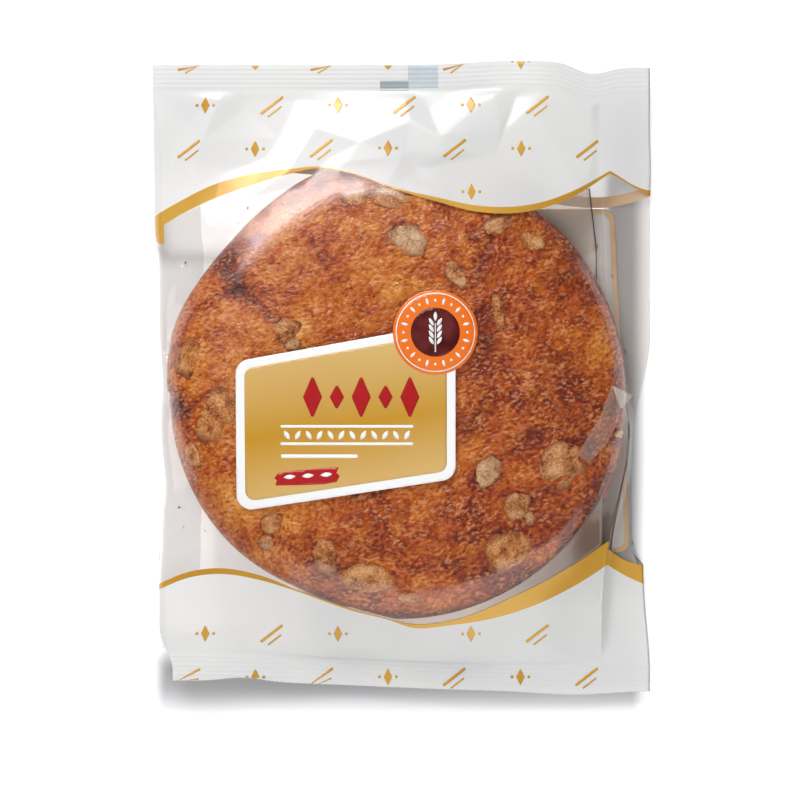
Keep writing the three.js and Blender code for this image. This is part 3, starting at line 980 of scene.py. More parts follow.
@dataclass
class FilmDrape:
    """The heights of the film's front and back sheets.

    The front is a stretched membrane, lifted a little by the air in the bag and held up by the
    loaf, with creases laid over it. The back lies on the table and rises to the seals.
    """

    form: BagForm
    loaf: LoafForm
    net: Net = Net(0.8, 112.0, 140.8)  # on which the front is solved
    rounds: int = 260  # over each net
    clearance: float = 0.9  # between the loaf's form and the film
    nugget_gap: float = 0.8  # between a nugget and the film, beside it
    lift: float = 0.0012  # pull of the air in the bag, per mm
    sag: float = 0.011  # pull the other way where the film hangs slack
    sag_at: Triple = (-88.0, 76.0, 27.0)  # middle and reach of that place
    base: float = 0.35  # height of the back sheet where it lies flat
    gap: float = 0.3  # least distance between the two sheets
    fade: float = 5.0  # over which the creases die out beside a seal or a side fold
    facets: Facets = Facets()
    heights: Array = field(init=False)
    folds: Array = field(init=False)

    def __post_init__(self) -> None:
        """Solve the membrane from a coarse net to the fine one, and lay the creases over it."""
        heights = last = None
        for coarseness in (4, 2, 1):
            net = Net(self.net.step * coarseness, self.net.half_x, self.net.half_y)
            start = None if last is None else last.read(heights, *net.knots())
            heights, last = self._relax(net, start), net
        self.heights = heights
        self.folds = self._fold()

    def obstacle(self, x: Array, y: Array) -> Array:
        """Give the lowest height that the loaf and its nuggets leave for the film.

        Args:
            x, y: The places.

        Returns:
            The height, 0 beyond the loaf.
        """
        loaf = self.loaf.top(x, y, furrowed=False)
        floor = np.where(loaf > 0, loaf + self.clearance, 0)
        for nugget in NUGGETS:
            u, v = nugget.local(x, y, self.nugget_gap)
            cap = np.sqrt(np.clip(1 - u * u - v * v, 0, 1))
            floor = np.where(cap > 0, np.maximum(floor, loaf + 0.5 + nugget.stand * cap), floor)
        return floor

    def _held(self, x: Array, y: Array) -> tuple[Array, Array]:
        """Find what the seals and folds hold.

        Args:
            x, y: The places.

        Returns:
            The heights that they set, and where they set them.
        """
        form = self.form
        left, crease = form.left(y), form.crease(y)
        in_top = y >= form.top(x) - form.top_seal
        in_bottom = y <= form.bottom_line(x) + form.bottom_seal
        in_fold = x <= left + form.fold_width
        in_gusset = np.where(y < 84, x >= crease, x >= form.right(y) - 1.5)
        low = form.side_height(x, y, form.edge_height)
        share = np.clip((x - left) / form.fold_width, 0, 1)
        shoulder = self.obstacle(left + form.fold_width, y)
        high = np.maximum(form.side_height(x, y, form.fold_height), shoulder)
        fold = mix(low, high, np.sqrt(1 - (1 - share) ** 2))
        fall = form.gusset_fall + form.gusset_ease * ease((y - 60) / 36)
        drop = np.exp(-np.clip(x - crease, 0, None) / fall)
        gusset = mix(low, form.side_height(x, y, form.crease_height), drop)
        gusset = np.maximum(gusset, self.obstacle(x, y))
        zones = [in_top, in_bottom, in_fold, in_gusset]
        heights = [form.top_height(x), form.bottom_height(x), fold, gusset]
        return np.select(zones, heights, 0.0), np.any(zones, axis=0)

    def _relax(self, net: Net, start: Array | None) -> Array:
        """Move each free knot to the mean of its neighbours, but not below the loaf.

        Args:
            net: The net to solve on.
            start: First guess of the heights, or None.

        Returns:
            The height at each knot.
        """
        x, y = net.knots()
        height, held = self._held(x, y)
        floor = self.obstacle(x, y)
        guess = np.maximum(floor, self.form.top_height(x)) if start is None else start
        height = np.where(held, height, np.maximum(guess, floor))
        inner = (slice(1, -1), slice(1, -1))
        chequer = (np.add.outer(*map(np.arange, net.shape)) % 2 == 0)[inner]
        moves = [(~held[inner]) & chequer, (~held[inner]) & ~chequer]
        slack = bump(np.hypot(x - self.sag_at[0], y - self.sag_at[1]) / self.sag_at[2])
        lift = ((self.lift - self.sag * slack) * net.step**2 / 4)[inner]
        for _ in range(self.rounds):
            for move in moves:
                ring = height[1:-1, :-2] + height[1:-1, 2:] + height[:-2, 1:-1] + height[2:, 1:-1]
                now = height[inner]
                new = now + 1.9 * (ring / 4 + lift - now)
                height[inner] = np.where(move, np.maximum(new, floor[inner]), now)
        return height

    def _fold(self) -> Array:
        """Lay the creases and facets over the film.

        Returns:
            The height to add at each knot.
        """
        x, y = self.net.knots()
        form = self.form
        to_seals = (form.top(x) - form.top_seal - y, y - form.bottom_line(x) - form.bottom_seal)
        to_folds = (x - form.left(y) - form.fold_width, form.crease(y) - x)
        near = np.minimum.reduce([*to_seals, *to_folds])
        total = self.facets.build(self.net) * (1 - 0.8 * self.loaf.dome(x, y))
        return total * ease(near / self.fade)

    def front(self, x: Array, y: Array) -> Array:
        """Give the height of the front sheet, with its folds and the ribs of the seals.

        Args:
            x, y: The places.

        Returns:
            The height at each place.
        """
        height, held = self._held(x, y)
        free = np.maximum(self.net.read(self.heights + self.folds, x, y), self.obstacle(x, y))
        return np.where(held, height, free) + self.gap + self.form.ribs(x, y)

    def back(self, x: Array, y: Array) -> Array:
        """Give the height of the back sheet, which stays under the front one.

        Args:
            x, y: The places.

        Returns:
            The height at each place.
        """
        form, loaf = self.form, self.loaf
        up, right = y > loaf.centre[1], x > loaf.centre[0]
        end = np.where(up, form.top_height(x), form.bottom_height(x))
        low_inner = -form.bottom_line(x) - form.bottom_seal
        inner = np.where(up, form.top(x) - form.top_seal, low_inner)
        foot_end = loaf.foot + np.where(up, loaf.centre[1], -loaf.centre[1])
        along_y = np.clip((np.abs(y) - foot_end) / (inner - foot_end), 0, 1)
        side = np.where(right, form.right(y), -form.left(y))
        foot_side = loaf.foot + np.where(right, loaf.centre[0], -loaf.centre[0])
        along_x = np.clip((np.abs(x) - foot_side) / (side - foot_side), 0, 1)
        raised = np.maximum(end * along_y**1.6, form.edge_height * along_x**2)
        edge = form.side_height(x, y, form.edge_height)
        raised = mix(raised, np.maximum(raised, edge), along_x**3)
        return np.minimum(np.maximum(raised, self.base), self.front(x, y) - self.gap)


# The printed waves


@dataclass(frozen=True)
class Wave:
    """A printed stripe that crosses the bag in a wave and breaks at the gusset's crease."""

    upper: Line  # its edges as far as the crease
    lower: Line
    flap_upper: Line  # and on the gusset
    flap_lower: Line
    break_x: float  # where it breaks
    fold_x: float = -105.6  # where it turns round the left fold
    fold_drop: float = 0.0  # how much lower its lower edge runs on that fold

    def edge(self, x: Array, is_upper: bool) -> Array:
        """Give one edge of the stripe.

        Args:
            x: Places across the bag.
            is_upper: True for the upper edge, False for the lower one.

        Returns:
            The edge's y at each place.
        """
        main, flap = (self.upper, self.flap_upper) if is_upper else (self.lower, self.flap_lower)
        y = np.where(x < self.break_x, smooth_curve(main, x), smooth_curve(flap, x))
        drop = self.fold_drop * (1 - (self.fold_x - x) / 8)
        return y if is_upper else np.where(x < self.fold_x, y - drop, y)


TOP_WAVE = Wave(
    upper=(
        (-109.5, 71.4), (-98, 77.9), (-82.7, 85.3), (-68.6, 89.3), (-48, 91.9), (-38, 92.9),
        (-23.8, 90.5), (-0.9, 82.7), (13.2, 79.5), (34.3, 75.3), (55, 75.9), (76.1, 82.8), (91.7, 91.6),
    ),
    lower=(
        (-109, 65.4), (-106, 67), (-98, 71.8), (-82.7, 79), (-68.6, 84), (-48, 90),
        (-38, 92), (-23.8, 90.1), (-0.9, 81.8), (13.2, 77.7), (34.3, 72.5), (55, 73),
        (76.1, 80.4), (91.7, 90.4),
    ),
    flap_upper=((91.7, 91.6), (107, 83.6), (110, 83)),
    flap_lower=((91.7, 90.4), (100, 86), (107, 82), (110, 80.8)),
    break_x=91.7,
    fold_drop=8.3,
)

BOTTOM_WAVE = Wave(
    upper=(
        (-108, -90.8), (-95, -85.4), (-83.2, -83.4), (-60.3, -86.9), (-48.4, -91.6), (-22.4, -101),
        (-5.7, -105.5), (4.5, -107.9), (21.1, -106.4), (49.7, -95.3), (83.2, -76.8), (91, -71.5),
    ),
    lower=(
        (-108, -93.4), (-95, -88), (-83.2, -86), (-60.3, -88.9), (-48.4, -92.6), (-22.4, -101.8),
        (-5.7, -106.1), (4.5, -109.5), (21.1, -108.4), (49.7, -102.7), (83.2, -86.9), (91, -81.8),
    ),
    flap_upper=((90, -74.6), (97, -79.5), (106.5, -82.7), (110, -83.5)),
    flap_lower=((90, -81.8), (97, -86.2), (106.5, -90.7), (110, -92)),
    break_x=90.6,
)


@dataclass(frozen=True)
class BackWave:
    """One of the stripes on the back sheet, which carry on the front ones round the right side."""

    middle: Line  # its middle line
    thick: float = 2.9

    def edge(self, x: Array, is_upper: bool) -> Array:
        """Give the y of one edge of the stripe across the back."""
        return smooth_curve(self.middle, x) + (self.thick / 2 if is_upper else -self.thick / 2)


BACK_WAVES = (
    BackWave(((-110, -116), (-40, -108), (20, -104), (60, -100), (110, -95))),
    BackWave((
        (-110, 98), (-40, 92), (20, 86), (60, 80), (83, 77.3), (89, 77.2), (98, 78.6), (105, 80.4),
        (110, 82.2),
    )),
)


# The sealed bag


class FilmFace(IntEnum):
    """The material slots of the bag, in order."""

    CLEAR = 0
    WHITE = 1
    GOLD = 2
    BACK_GOLD = 3
    BACK_CLEAR = 4


@dataclass
class FilmBag:
    """The film itself: one closed skin, with the front sheet finely meshed and the back coarser."""

    drape: FilmDrape
    columns: tuple[int, int, int] = (9, 213, 24)  # round the left fold, to the crease, on the gusset
    bands: tuple[tuple[int, FilmFace], ...] = (  # rows between the printed edges, from the bottom up
        (34, FilmFace.WHITE), (4, FilmFace.GOLD), (186, FilmFace.CLEAR), (4, FilmFace.GOLD),
        (48, FilmFace.WHITE),
    )
    least_band: float = 0.001  # thickness, as a share of half the bag's length
    coarse: int = 3  # front columns and rows that make one on the back
    inset: float = 0.5  # how far the back's edge lies inside the front's
    teeth: float = 0.35  # depth of the saw teeth along the bottom cut
    finishes: tuple[Finish, ...] = (  # in the order of FilmFace
        CLEAR,
        FilmInk("white_ink_on_film", "#f0f1f1", "#f6f6f5", thin=0.04, milky=0.2),
        GOLD,
        GOLD_FROM_BEHIND,
        ClearFilm("back_sheet_film", haze=0.32, haze_colour="#d2c7bd"),
    )

    def _columns(self) -> tuple[Array, Array]:
        """Lay out the columns round the bag's front.

        Returns:
            Each column's zone, and how far through that zone it lies.
        """
        left, middle, right = self.columns
        shares = (
            1 - np.cos(np.pi / 2 * np.arange(left) / left),
            np.arange(middle) / middle,
            (np.arange(right + 1) / right) ** 1.4,
        )
        return np.repeat([0, 1, 2], [len(share) for share in shares]), np.concatenate(shares)

    def _rows(self, waves: Sequence[Wave | BackWave]) -> tuple[Array, Array]:
        """Lay out the rows so that every printed edge falls on one.

        Args:
            waves: The lower and the upper printed stripe.

        Returns:
            How far up the bag, from -1 to 1, each point is, row by row, and the material slot of
            each row of faces.
        """
        form = self.drape.form
        zone, share = self._columns()
        line, half, step = np.ones(len(zone)), form.length / 2, form.rib_pitch / 4
        levels = [line * (-1 + form.bottom_seal / half)]
        for wave in waves:
            for is_upper in (False, True):
                v = 0 * line
                for _ in range(6):
                    x, _ = form.place(zone, share, v)
                    low = form.bottom_line(x)
                    v = 2 * (wave.edge(x, is_upper) - low) / (form.top(x) - low) - 1
                levels.append(v)
        levels.append(line * (1 - form.top_seal / half))
        rows = [line * (-1 + up / half) for up in np.arange(0, form.bottom_seal, step)]
        slots = [FilmFace.WHITE] * len(rows)
        for start, end, (count, slot) in zip(levels, levels[1:], self.bands):
            end = np.maximum(end, start + self.least_band)
            rows += [mix(start, end, k / count) for k in range(count)]
            slots += [slot] * count
        high_seal = [line * (1 - down / half) for down in np.arange(0, form.top_seal, step)[::-1]]
        slots += [FilmFace.WHITE] * (len(high_seal) - 1)
        return np.array(rows + high_seal), np.array(slots)

    def build(self) -> Piece:
        """Make the bag.

        Returns:
            The bag's object.
        """
        form, mesh = self.drape.form, Mesh()
        zone, share = self._columns()
        v, slots = self._rows((BOTTOM_WAVE, TOP_WAVE))
        rows, columns = v.shape
        x, y = form.place(zone, share, v)
        y[0] += np.where(np.arange(columns) % 2, self.teeth, 0)
        front = as_points(x, y, self.drape.front(x, y))
        mesh.add(front, grid_faces(rows, columns), np.repeat(slots, columns - 1))

        v, _ = self._rows(BACK_WAVES)
        up, across = (np.append(np.arange(0, size - 1, self.coarse), size - 1) for size in v.shape)
        v = v[np.ix_(up, across)]
        x, y = form.place(zone[across], share[across], v)
        x = x * (1 - self.inset / (form.width / 2))
        y = y * (1 - self.inset / (form.length / 2))
        behind = np.array([FilmFace.BACK_CLEAR, FilmFace.WHITE, FilmFace.BACK_GOLD])[slots[up[:-1]]]
        faces = grid_faces(*v.shape)[:, ::-1]
        back = as_points(x, y, self.drape.back(x, y))
        first = mesh.add(back, faces, np.repeat(behind, len(across) - 1))

        band = bridge(grid_rim(rows, columns), [first + i for i in grid_rim(*v.shape)])
        beside = np.array([min(face) for face in band]) // columns
        mesh.join(band, slots[np.minimum(beside, rows - 2)])
        return mesh.build("film_bag", *self.finishes)


# The loaf and what is baked on it


@dataclass(frozen=True)
class Wrinkles:
    """The fine wrinkles of the dried egg wash, as oriented noise on a square net."""

    size: float = 256.0  # width of the square that they cover
    cells: int = 1024  # knots along each of its sides
    pitch: float = 2.1  # distance between wrinkles
    stretch: float = 1.5  # how many times longer than wide they are
    spread: float = 0.85  # how much their widths differ
    directions: int = 8  # number of fixed directions that are mixed
    turn_size: float = 16.0  # of the places over which they turn
    calm_size: float = 9.0  # of the calmer and the rougher places
    seed: int = 7

    def build(self) -> tuple[Net, Array]:
        """Draw the wrinkles.

        Returns:
            The net, and the height at each knot from about -1 to 1.
        """
        random = np.random.default_rng(self.seed)
        step = self.size / self.cells
        noise = fft2(random.standard_normal((self.cells, self.cells)))
        waves = fftfreq(self.cells, step)
        fx, fy = np.meshgrid(waves, waves)
        turn = self._soft(random, fx, fy, self.turn_size) * 0.55 + 0.65
        total = np.zeros((self.cells, self.cells))
        weights = np.zeros_like(total)
        for k in range(self.directions):
            angle = np.pi * k / self.directions
            across = fx * -math.sin(angle) + fy * math.cos(angle)
            along = fx * math.cos(angle) + fy * math.sin(angle)
            band = bump((np.abs(across) * self.pitch - 1) / self.spread)
            band = band * bump(along * self.pitch * self.stretch)
            layer = ifft2(noise * band).real
            weight = np.cos(turn - angle) ** 6
            total += weight * layer / layer.std()
            weights += weight**2
        total /= np.sqrt(weights)
        total *= 0.75 + 0.45 * np.tanh(self._soft(random, fx, fy, self.calm_size))
        full = np.pad(total, (0, 1), mode="wrap")
        return Net(step, self.size / 2, self.size / 2), np.tanh(full * 0.6)

    def _soft(self, random: np.random.Generator, fx: Array, fy: Array, size: float) -> Array:
        """Draw smooth noise with blobs of a given size, with a spread of about 1."""
        cloud = ifft2(fft2(random.standard_normal(fx.shape)) * bump(np.hypot(fx, fy) * size)).real
        return cloud / cloud.std()


@dataclass
class Loaf:
    """The baked loaf, as one closed mesh with its wrinkles as real relief."""

    form: LoafForm
    cells: int = 286  # quads across its top
    rim_bend: float = 0.94  # how much closer the quads lie near its rim
    side_rings: int = 9  # rings of quads down its side
    wrinkle_height: float = 0.08  # half the height of the fine wrinkles
    lump_height: float = 0.42  # and of the coarser unevenness
    side_relief: float = 0.25  # the same down its side
    # Places painted darker or paler: their x, y, size and how much darker. The two at the dent paint its
    # shade
    dark_spots: tuple[tuple[float, ...], ...] = (
        (-43.5, 66, 4, 0.12), (-35, 52.5, 4.5, 0.12), (-9.5, -50.5, 3.5, 0.12),
        (31, 52, 5, 0.12), (-75, 46, 9.5, 0.19), (-68, 39, 7, 0.1),
        (-97.5, -11, 4.5, 0.3), (-97, -17, 4, 0.2), (-80, 2, 8, -0.04),
        (90, -52, 16, 0.12), (-78, -50, 26, -0.16), (-10, -66, 26, 0.07),
        (12, -84, 22, 0.05), (40, -8, 22, 0.03), (30, 22, 18, 0.06),
    )

    def _disc(self) -> tuple[Array, Array]:
        """Spread a square grid evenly over the unit disc, a little closer near its rim.

        Returns:
            The x and y of the grid's points.
        """
        line = np.linspace(-1, 1, self.cells + 1)
        a, b = np.meshgrid(line, line)
        wide = np.abs(a) > np.abs(b)
        reach = np.where(wide, a, b)
        ratio = np.divide(np.where(wide, b, a), reach, out=np.zeros_like(a), where=reach != 0)
        angle = np.where(wide, np.pi / 4 * ratio, np.pi / 2 - np.pi / 4 * ratio)
        radius = np.sign(reach) * np.sin(np.abs(reach) * self.rim_bend) / math.sin(self.rim_bend)
        return radius * np.cos(angle), radius * np.sin(angle)

    def build(self) -> Piece:
        """Make the loaf.

        Returns:
            The loaf's object, with the attributes that its material reads.
        """
        form = self.form
        net, wrinkles = Wrinkles().build()
        lump_net, lumps = Wrinkles(pitch=11.0, stretch=1.1, seed=11).build()
        u, v = self._disc()
        radius = form.outline(u, v)
        x, y = form.centre[0] + u * radius, form.centre[1] + v * radius
        fine, coarse = net.read(wrinkles, x, y), lump_net.read(lumps, x, y)
        calm = ease((1 - np.hypot(u, v)) / 0.04)
        z = np.maximum(form.top(x, y), form.widest)
        z = z + (self.wrinkle_height * fine + self.lump_height * coarse) * calm
        top, mesh = as_points(x, y, z), Mesh()
        mesh.add(top, grid_faces(*x.shape))
        relief = [fine.ravel() * 0.5 + 0.5]
        last = grid_rim(*x.shape)
        edge = top[last]
        out = edge[:, :2] - form.centre
        for ring in range(1, self.side_rings + 1):
            angle = math.pi / 2 * ring / self.side_rings
            share = mix(form.foot / form.radius, 1, math.cos(angle))
            points = edge.copy()
            points[:, :2] = np.array(form.centre) + out * share
            points[:, 2] = form.widest - (form.widest - form.foot_height) * math.sin(angle)
            around = net.read(wrinkles, points[:, 0] * 1.7, points[:, 1] * 1.7)
            points[:, :2] += out / form.radius * around[:, None] * self.side_relief
            relief.append(around * 0.5 + 0.5)
            first = mesh.add(points)
            now = list(range(first, mesh.count))
            mesh.join(zip(last, now, now[1:] + now[:1], last[1:] + last[:1]))
            last = now
        mesh.join([last[::-1]])
        loaf = mesh.build("gata_loaf", EggWashedCrust())
        write_numbers(loaf, "relief", np.concatenate(relief))
        write_numbers(loaf, "shade", self._shade(*np.concatenate(mesh.points).T))
        return loaf

    def _shade(self, x: Array, y: Array, z: Array) -> Array:
        """Give how much darker than its mean the crust is painted, with its own patches and painted shade.

        Args:
            x, y: The places.
            z: Their heights.

        Returns:
            How much darker each place is.
        """
        form = self.form
        dx, dy, reach = form.from_middle(x, y)
        # darker towards the rim
        shade = 0.06 * ease((reach - 0.8) / 0.2)
        # painted shade on the upper left rim, which faces the key lamp
        towards_key = np.clip((0.83 * dy - 0.56 * dx) / form.radius, 0, 1)
        shade += 0.2 * ease((reach - 0.86) / 0.1) * towards_key
        # darker towards the lower right, away from the lamps: partly the crust's own browner side, partly
        # painted shade
        shade += 0.18 * (0.75 * dx - 0.35 * dy) / form.radius
        # painted shade in the furrows
        for groove in form.grooves:
            shade += 0.17 * groove.depth * groove.at(x, y)
        for spot_x, spot_y, size, depth in self.dark_spots:
            shade += depth * bump(np.hypot(x - spot_x, y - spot_y) / size)
        # painted shade in a ring round each lump, deeper on its upper left side
        for nugget in NUGGETS:
            nx, ny = x - nugget.at[0], y - nugget.at[1]
            lit = (ny - nx) / (np.hypot(nx, ny) + 1e-6) / 1.42
            shade += (0.14 + 0.1 * lit) * bump((np.hypot(*nugget.local(x, y)) - 1.02) / 0.12)
        # painted shade down the side under the loaf's widest point
        return shade + 0.1 * ease((form.widest - z) / form.widest)


@dataclass
class CrumbTopping:
    """The lumps of walnut and sugar in the crust, and loose specks between film and loaf."""

    loaf: LoafForm
    drape: FilmDrape
    fine: int = 4  # subdivisions of a large lump
    large: float = 8.0  # length of a large lump at least
    seed: int = 21
    specks: int = 26
    speck_sizes: Point = (0.3, 0.6)  # half their width
    speck_gap: float = 1.5  # from the loaf to the nearest
    speck_spread: float = 9.0  # of their distances beyond that
    speck_reach: float = 112.0  # how far up and down the bag they lie at most

    @staticmethod
    def _ball(subdivisions: int) -> tuple[Array, list[tuple[int, ...]]]:
        """Make a unit ball of even triangles.

        Args:
            subdivisions: How often its triangles are split.

        Returns:
            Its points and its faces.
        """
        shape = bmesh.new()
        bmesh.ops.create_icosphere(shape, subdivisions=subdivisions, radius=1.0)
        points = np.array([vertex.co[:] for vertex in shape.verts])
        faces = [tuple(vertex.index for vertex in face.verts) for face in shape.faces]
        shape.free()
        return points, faces

    @staticmethod
    def _rough(random: np.random.Generator, points: Array, size: float, waves: int) -> Array:
        """Draw noise at points as a sum of waves of about one length.

        Args:
            random: The random draw.
            points: Where the noise is read.
            size: Length of the waves.
            waves: Number of waves.

        Returns:
            The noise, with a spread of about 1.
        """
        way = random.standard_normal((waves, 3))
        way *= (2 * np.pi / size) / np.linalg.norm(way, axis=1, keepdims=True)
        phase = random.uniform(0, 2 * np.pi, waves)
        return np.cos(points @ way.T + phase).sum(axis=1) * math.sqrt(2 / waves)

    def _lump(self, random: np.random.Generator, nugget: Nugget, ball: Array) -> Array:
        """Shape one lump and set it into the crust, under the film.

        Args:
            random: The random draw.
            nugget: The lump.
            ball: The points of a unit ball.

        Returns:
            Those points on the lump.
        """
        loaf = self.loaf
        half = np.array([*nugget.size, nugget.stand]) * (0.58, 0.58, 1.9)
        form = 1 + 0.13 * self._rough(random, ball, 2.2, 10)
        form += 0.06 * self._rough(random, ball, 0.8, 14)
        points = ball * form[:, None] * half
        grain = self._rough(random, points, 1.5, 24) * 0.13
        grain += self._rough(random, points, 2.6, 18) * 0.12
        u, v, w = (points + ball * grain[:, None]).T
        c, s = math.cos(math.radians(nugget.turn)), math.sin(math.radians(nugget.turn))
        x, y = nugget.at[0] + u * c - v * s, nugget.at[1] + u * s + v * c
        base, top = float(loaf.top(*np.array(nugget.at))), loaf.top(x, y)
        lean = np.where(top > 0, top - base, -3.0)
        z = base + w - nugget.stand * 0.9 + np.clip(lean, -6, 3)
        dx, dy, _ = loaf.from_middle(x, y)
        pull = np.minimum(1.0, (loaf.outline(dx, dy) + 0.3) / np.hypot(dx, dy))
        x, y = loaf.centre[0] + dx * pull, loaf.centre[1] + dy * pull
        return as_points(x, y, np.minimum(z, self.drape.front(x, y) - 0.3))

    def build(self) -> Piece:
        """Make all the lumps as one piece.

        Returns:
            The lumps' object, with the attributes that its material reads.
        """
        random, mesh = np.random.default_rng(self.seed), Mesh()
        rim, pale = [], []
        for nugget in NUGGETS:
            ball, faces = self._ball(self.fine if max(nugget.size) > self.large else self.fine - 1)
            mesh.add(self._lump(random, nugget, ball), faces)
            rim.append(np.hypot(ball[:, 0], ball[:, 1]) ** 2)
            pale.append(np.full(len(ball), nugget.pale))
        piece = mesh.build("walnut_crumbs", SugarCrumb())
        write_numbers(piece, "rim", np.concatenate(rim))
        write_numbers(piece, "pale", np.concatenate(pale))
        return piece

    def build_specks(self) -> Piece:
        """Make the loose specks, which lie on the back sheet round the loaf.

        Returns:
            The specks' object.
        """
        random, mesh = np.random.default_rng(self.seed + 1), Mesh()
        ball, faces = self._ball(2)
        form = self.drape.form
        while len(mesh.points) < self.specks:
            angle = random.uniform(0, 2 * np.pi)
            reach = self.loaf.radius + self.speck_gap + abs(random.normal(0, self.speck_spread))
            at = np.array(self.loaf.centre) + reach * np.array([math.cos(angle), math.sin(angle)])
            size = random.uniform(*self.speck_sizes)
            inside = form.left(at[1]) + 5 < at[0] < form.right(at[1]) - 2
            back = self.drape.back(*at)
            if inside and abs(at[1]) <= self.speck_reach and self.drape.front(*at) - back >= 2.2 * size:
                points = ball * (1 + 0.2 * self._rough(random, ball, 1.6, 8))[:, None] * size
                points[:, 2] *= 0.7
                mesh.add(points + np.array([*at, float(back) + 0.7 * size + 0.2]), faces)
        return mesh.build("loose_specks", SugarCrumb())


# The print


def corners_of(outline: Sequence[Point]) -> Iterator[tuple[Vector, Vector, Vector, float]]:
    """Go round the corners of a polygon.

    Args:
        outline: The corners, anticlockwise.

    Yields:
        Each corner, the ways from it to the corner before and into the polygon, and half its angle.
    """
    for i, corner in enumerate(outline):
        here = Vector(corner)
        sides = (i - 1, (i + 1) % len(outline))
        before, after = ((Vector(outline[k]) - here).normalized() for k in sides)
        yield here, before, (before + after).normalized(), before.angle(after) / 2


def moved_in(outline: Sequence[Point], distance: float) -> list[Point]:
    """Move the sides of a polygon in by a distance."""
    return [tuple(at + inward * (distance / math.sin(half))) for at, _, inward, half in corners_of(outline)]


def rounded(outline: Sequence[Point], radius: float, steps: int = 7) -> Array:
    """Round the corners of a polygon with arcs.

    Args:
        outline: Its corners, anticlockwise.
        radius: Radius of the arcs.
        steps: Steps in each arc.

    Returns:
        The points of the rounded outline.
    """
    points = []
    for here, before, inward, half in corners_of(outline):
        centre = here + inward * (radius / math.sin(half))
        start = here + before * (radius / math.tan(half)) - centre
        for k in range(steps + 1):
            turn = (math.pi - 2 * half) * k / steps
            c, s = math.cos(turn), math.sin(turn)
            points.append((centre.x + start.x * c - start.y * s, centre.y + start.x * s + start.y * c))
    return np.array(points)


def turned(outline: Array, degrees: float, centre: Point) -> Array:
    """Turn an outline about the origin and move it to a centre."""
    c, s = math.cos(math.radians(degrees)), math.sin(math.radians(degrees))
    return outline @ np.array([[c, s], [-s, c]]) + np.array(centre)


def disc(centre: Point, radius: float, steps: int = 96) -> Array:
    """Give the outline of a disc."""
    angle = 2 * np.pi * np.arange(steps) / steps
    return np.stack([centre[0] + radius * np.cos(angle), centre[1] + radius * np.sin(angle)], 1)


def lens(centre: Point, length: float, width: float, turn: float, steps: int = 8) -> Array:
    """Give the outline of a grain, pointed at both ends.

    Args:
        centre: Its middle.
        length, width: Its sizes.
        turn: Angle of its length from +X, in degrees.
        steps: Steps along each side.

    Returns:
        The outline's points, anticlockwise.
    """
    t = np.linspace(-1, 1, steps + 1)
    low = np.stack([t * length / 2, -width / 2 * (1 - t * t)], 1)[:-1]
    return turned(np.concatenate([low, -low]), turn, centre)


def bar(centre: Point, length: float, width: float, turn: float = 0.0) -> Array:
    """Give the outline of a bar with round ends."""
    x, y = length / 2, width / 2
    return turned(rounded([(-x, -y), (x, -y), (x, y), (-x, y)], width * 0.42, 4), turn, centre)


def lozenge(centre: Point, width: float, height: float, radius: float, steps: int) -> Array:
    """Give the outline of a lozenge with rounded corners."""
    (x, y), w, h = centre, width / 2, height / 2
    return rounded([(x - w, y), (x, y - h), (x + w, y), (x, y + h)], radius, steps)


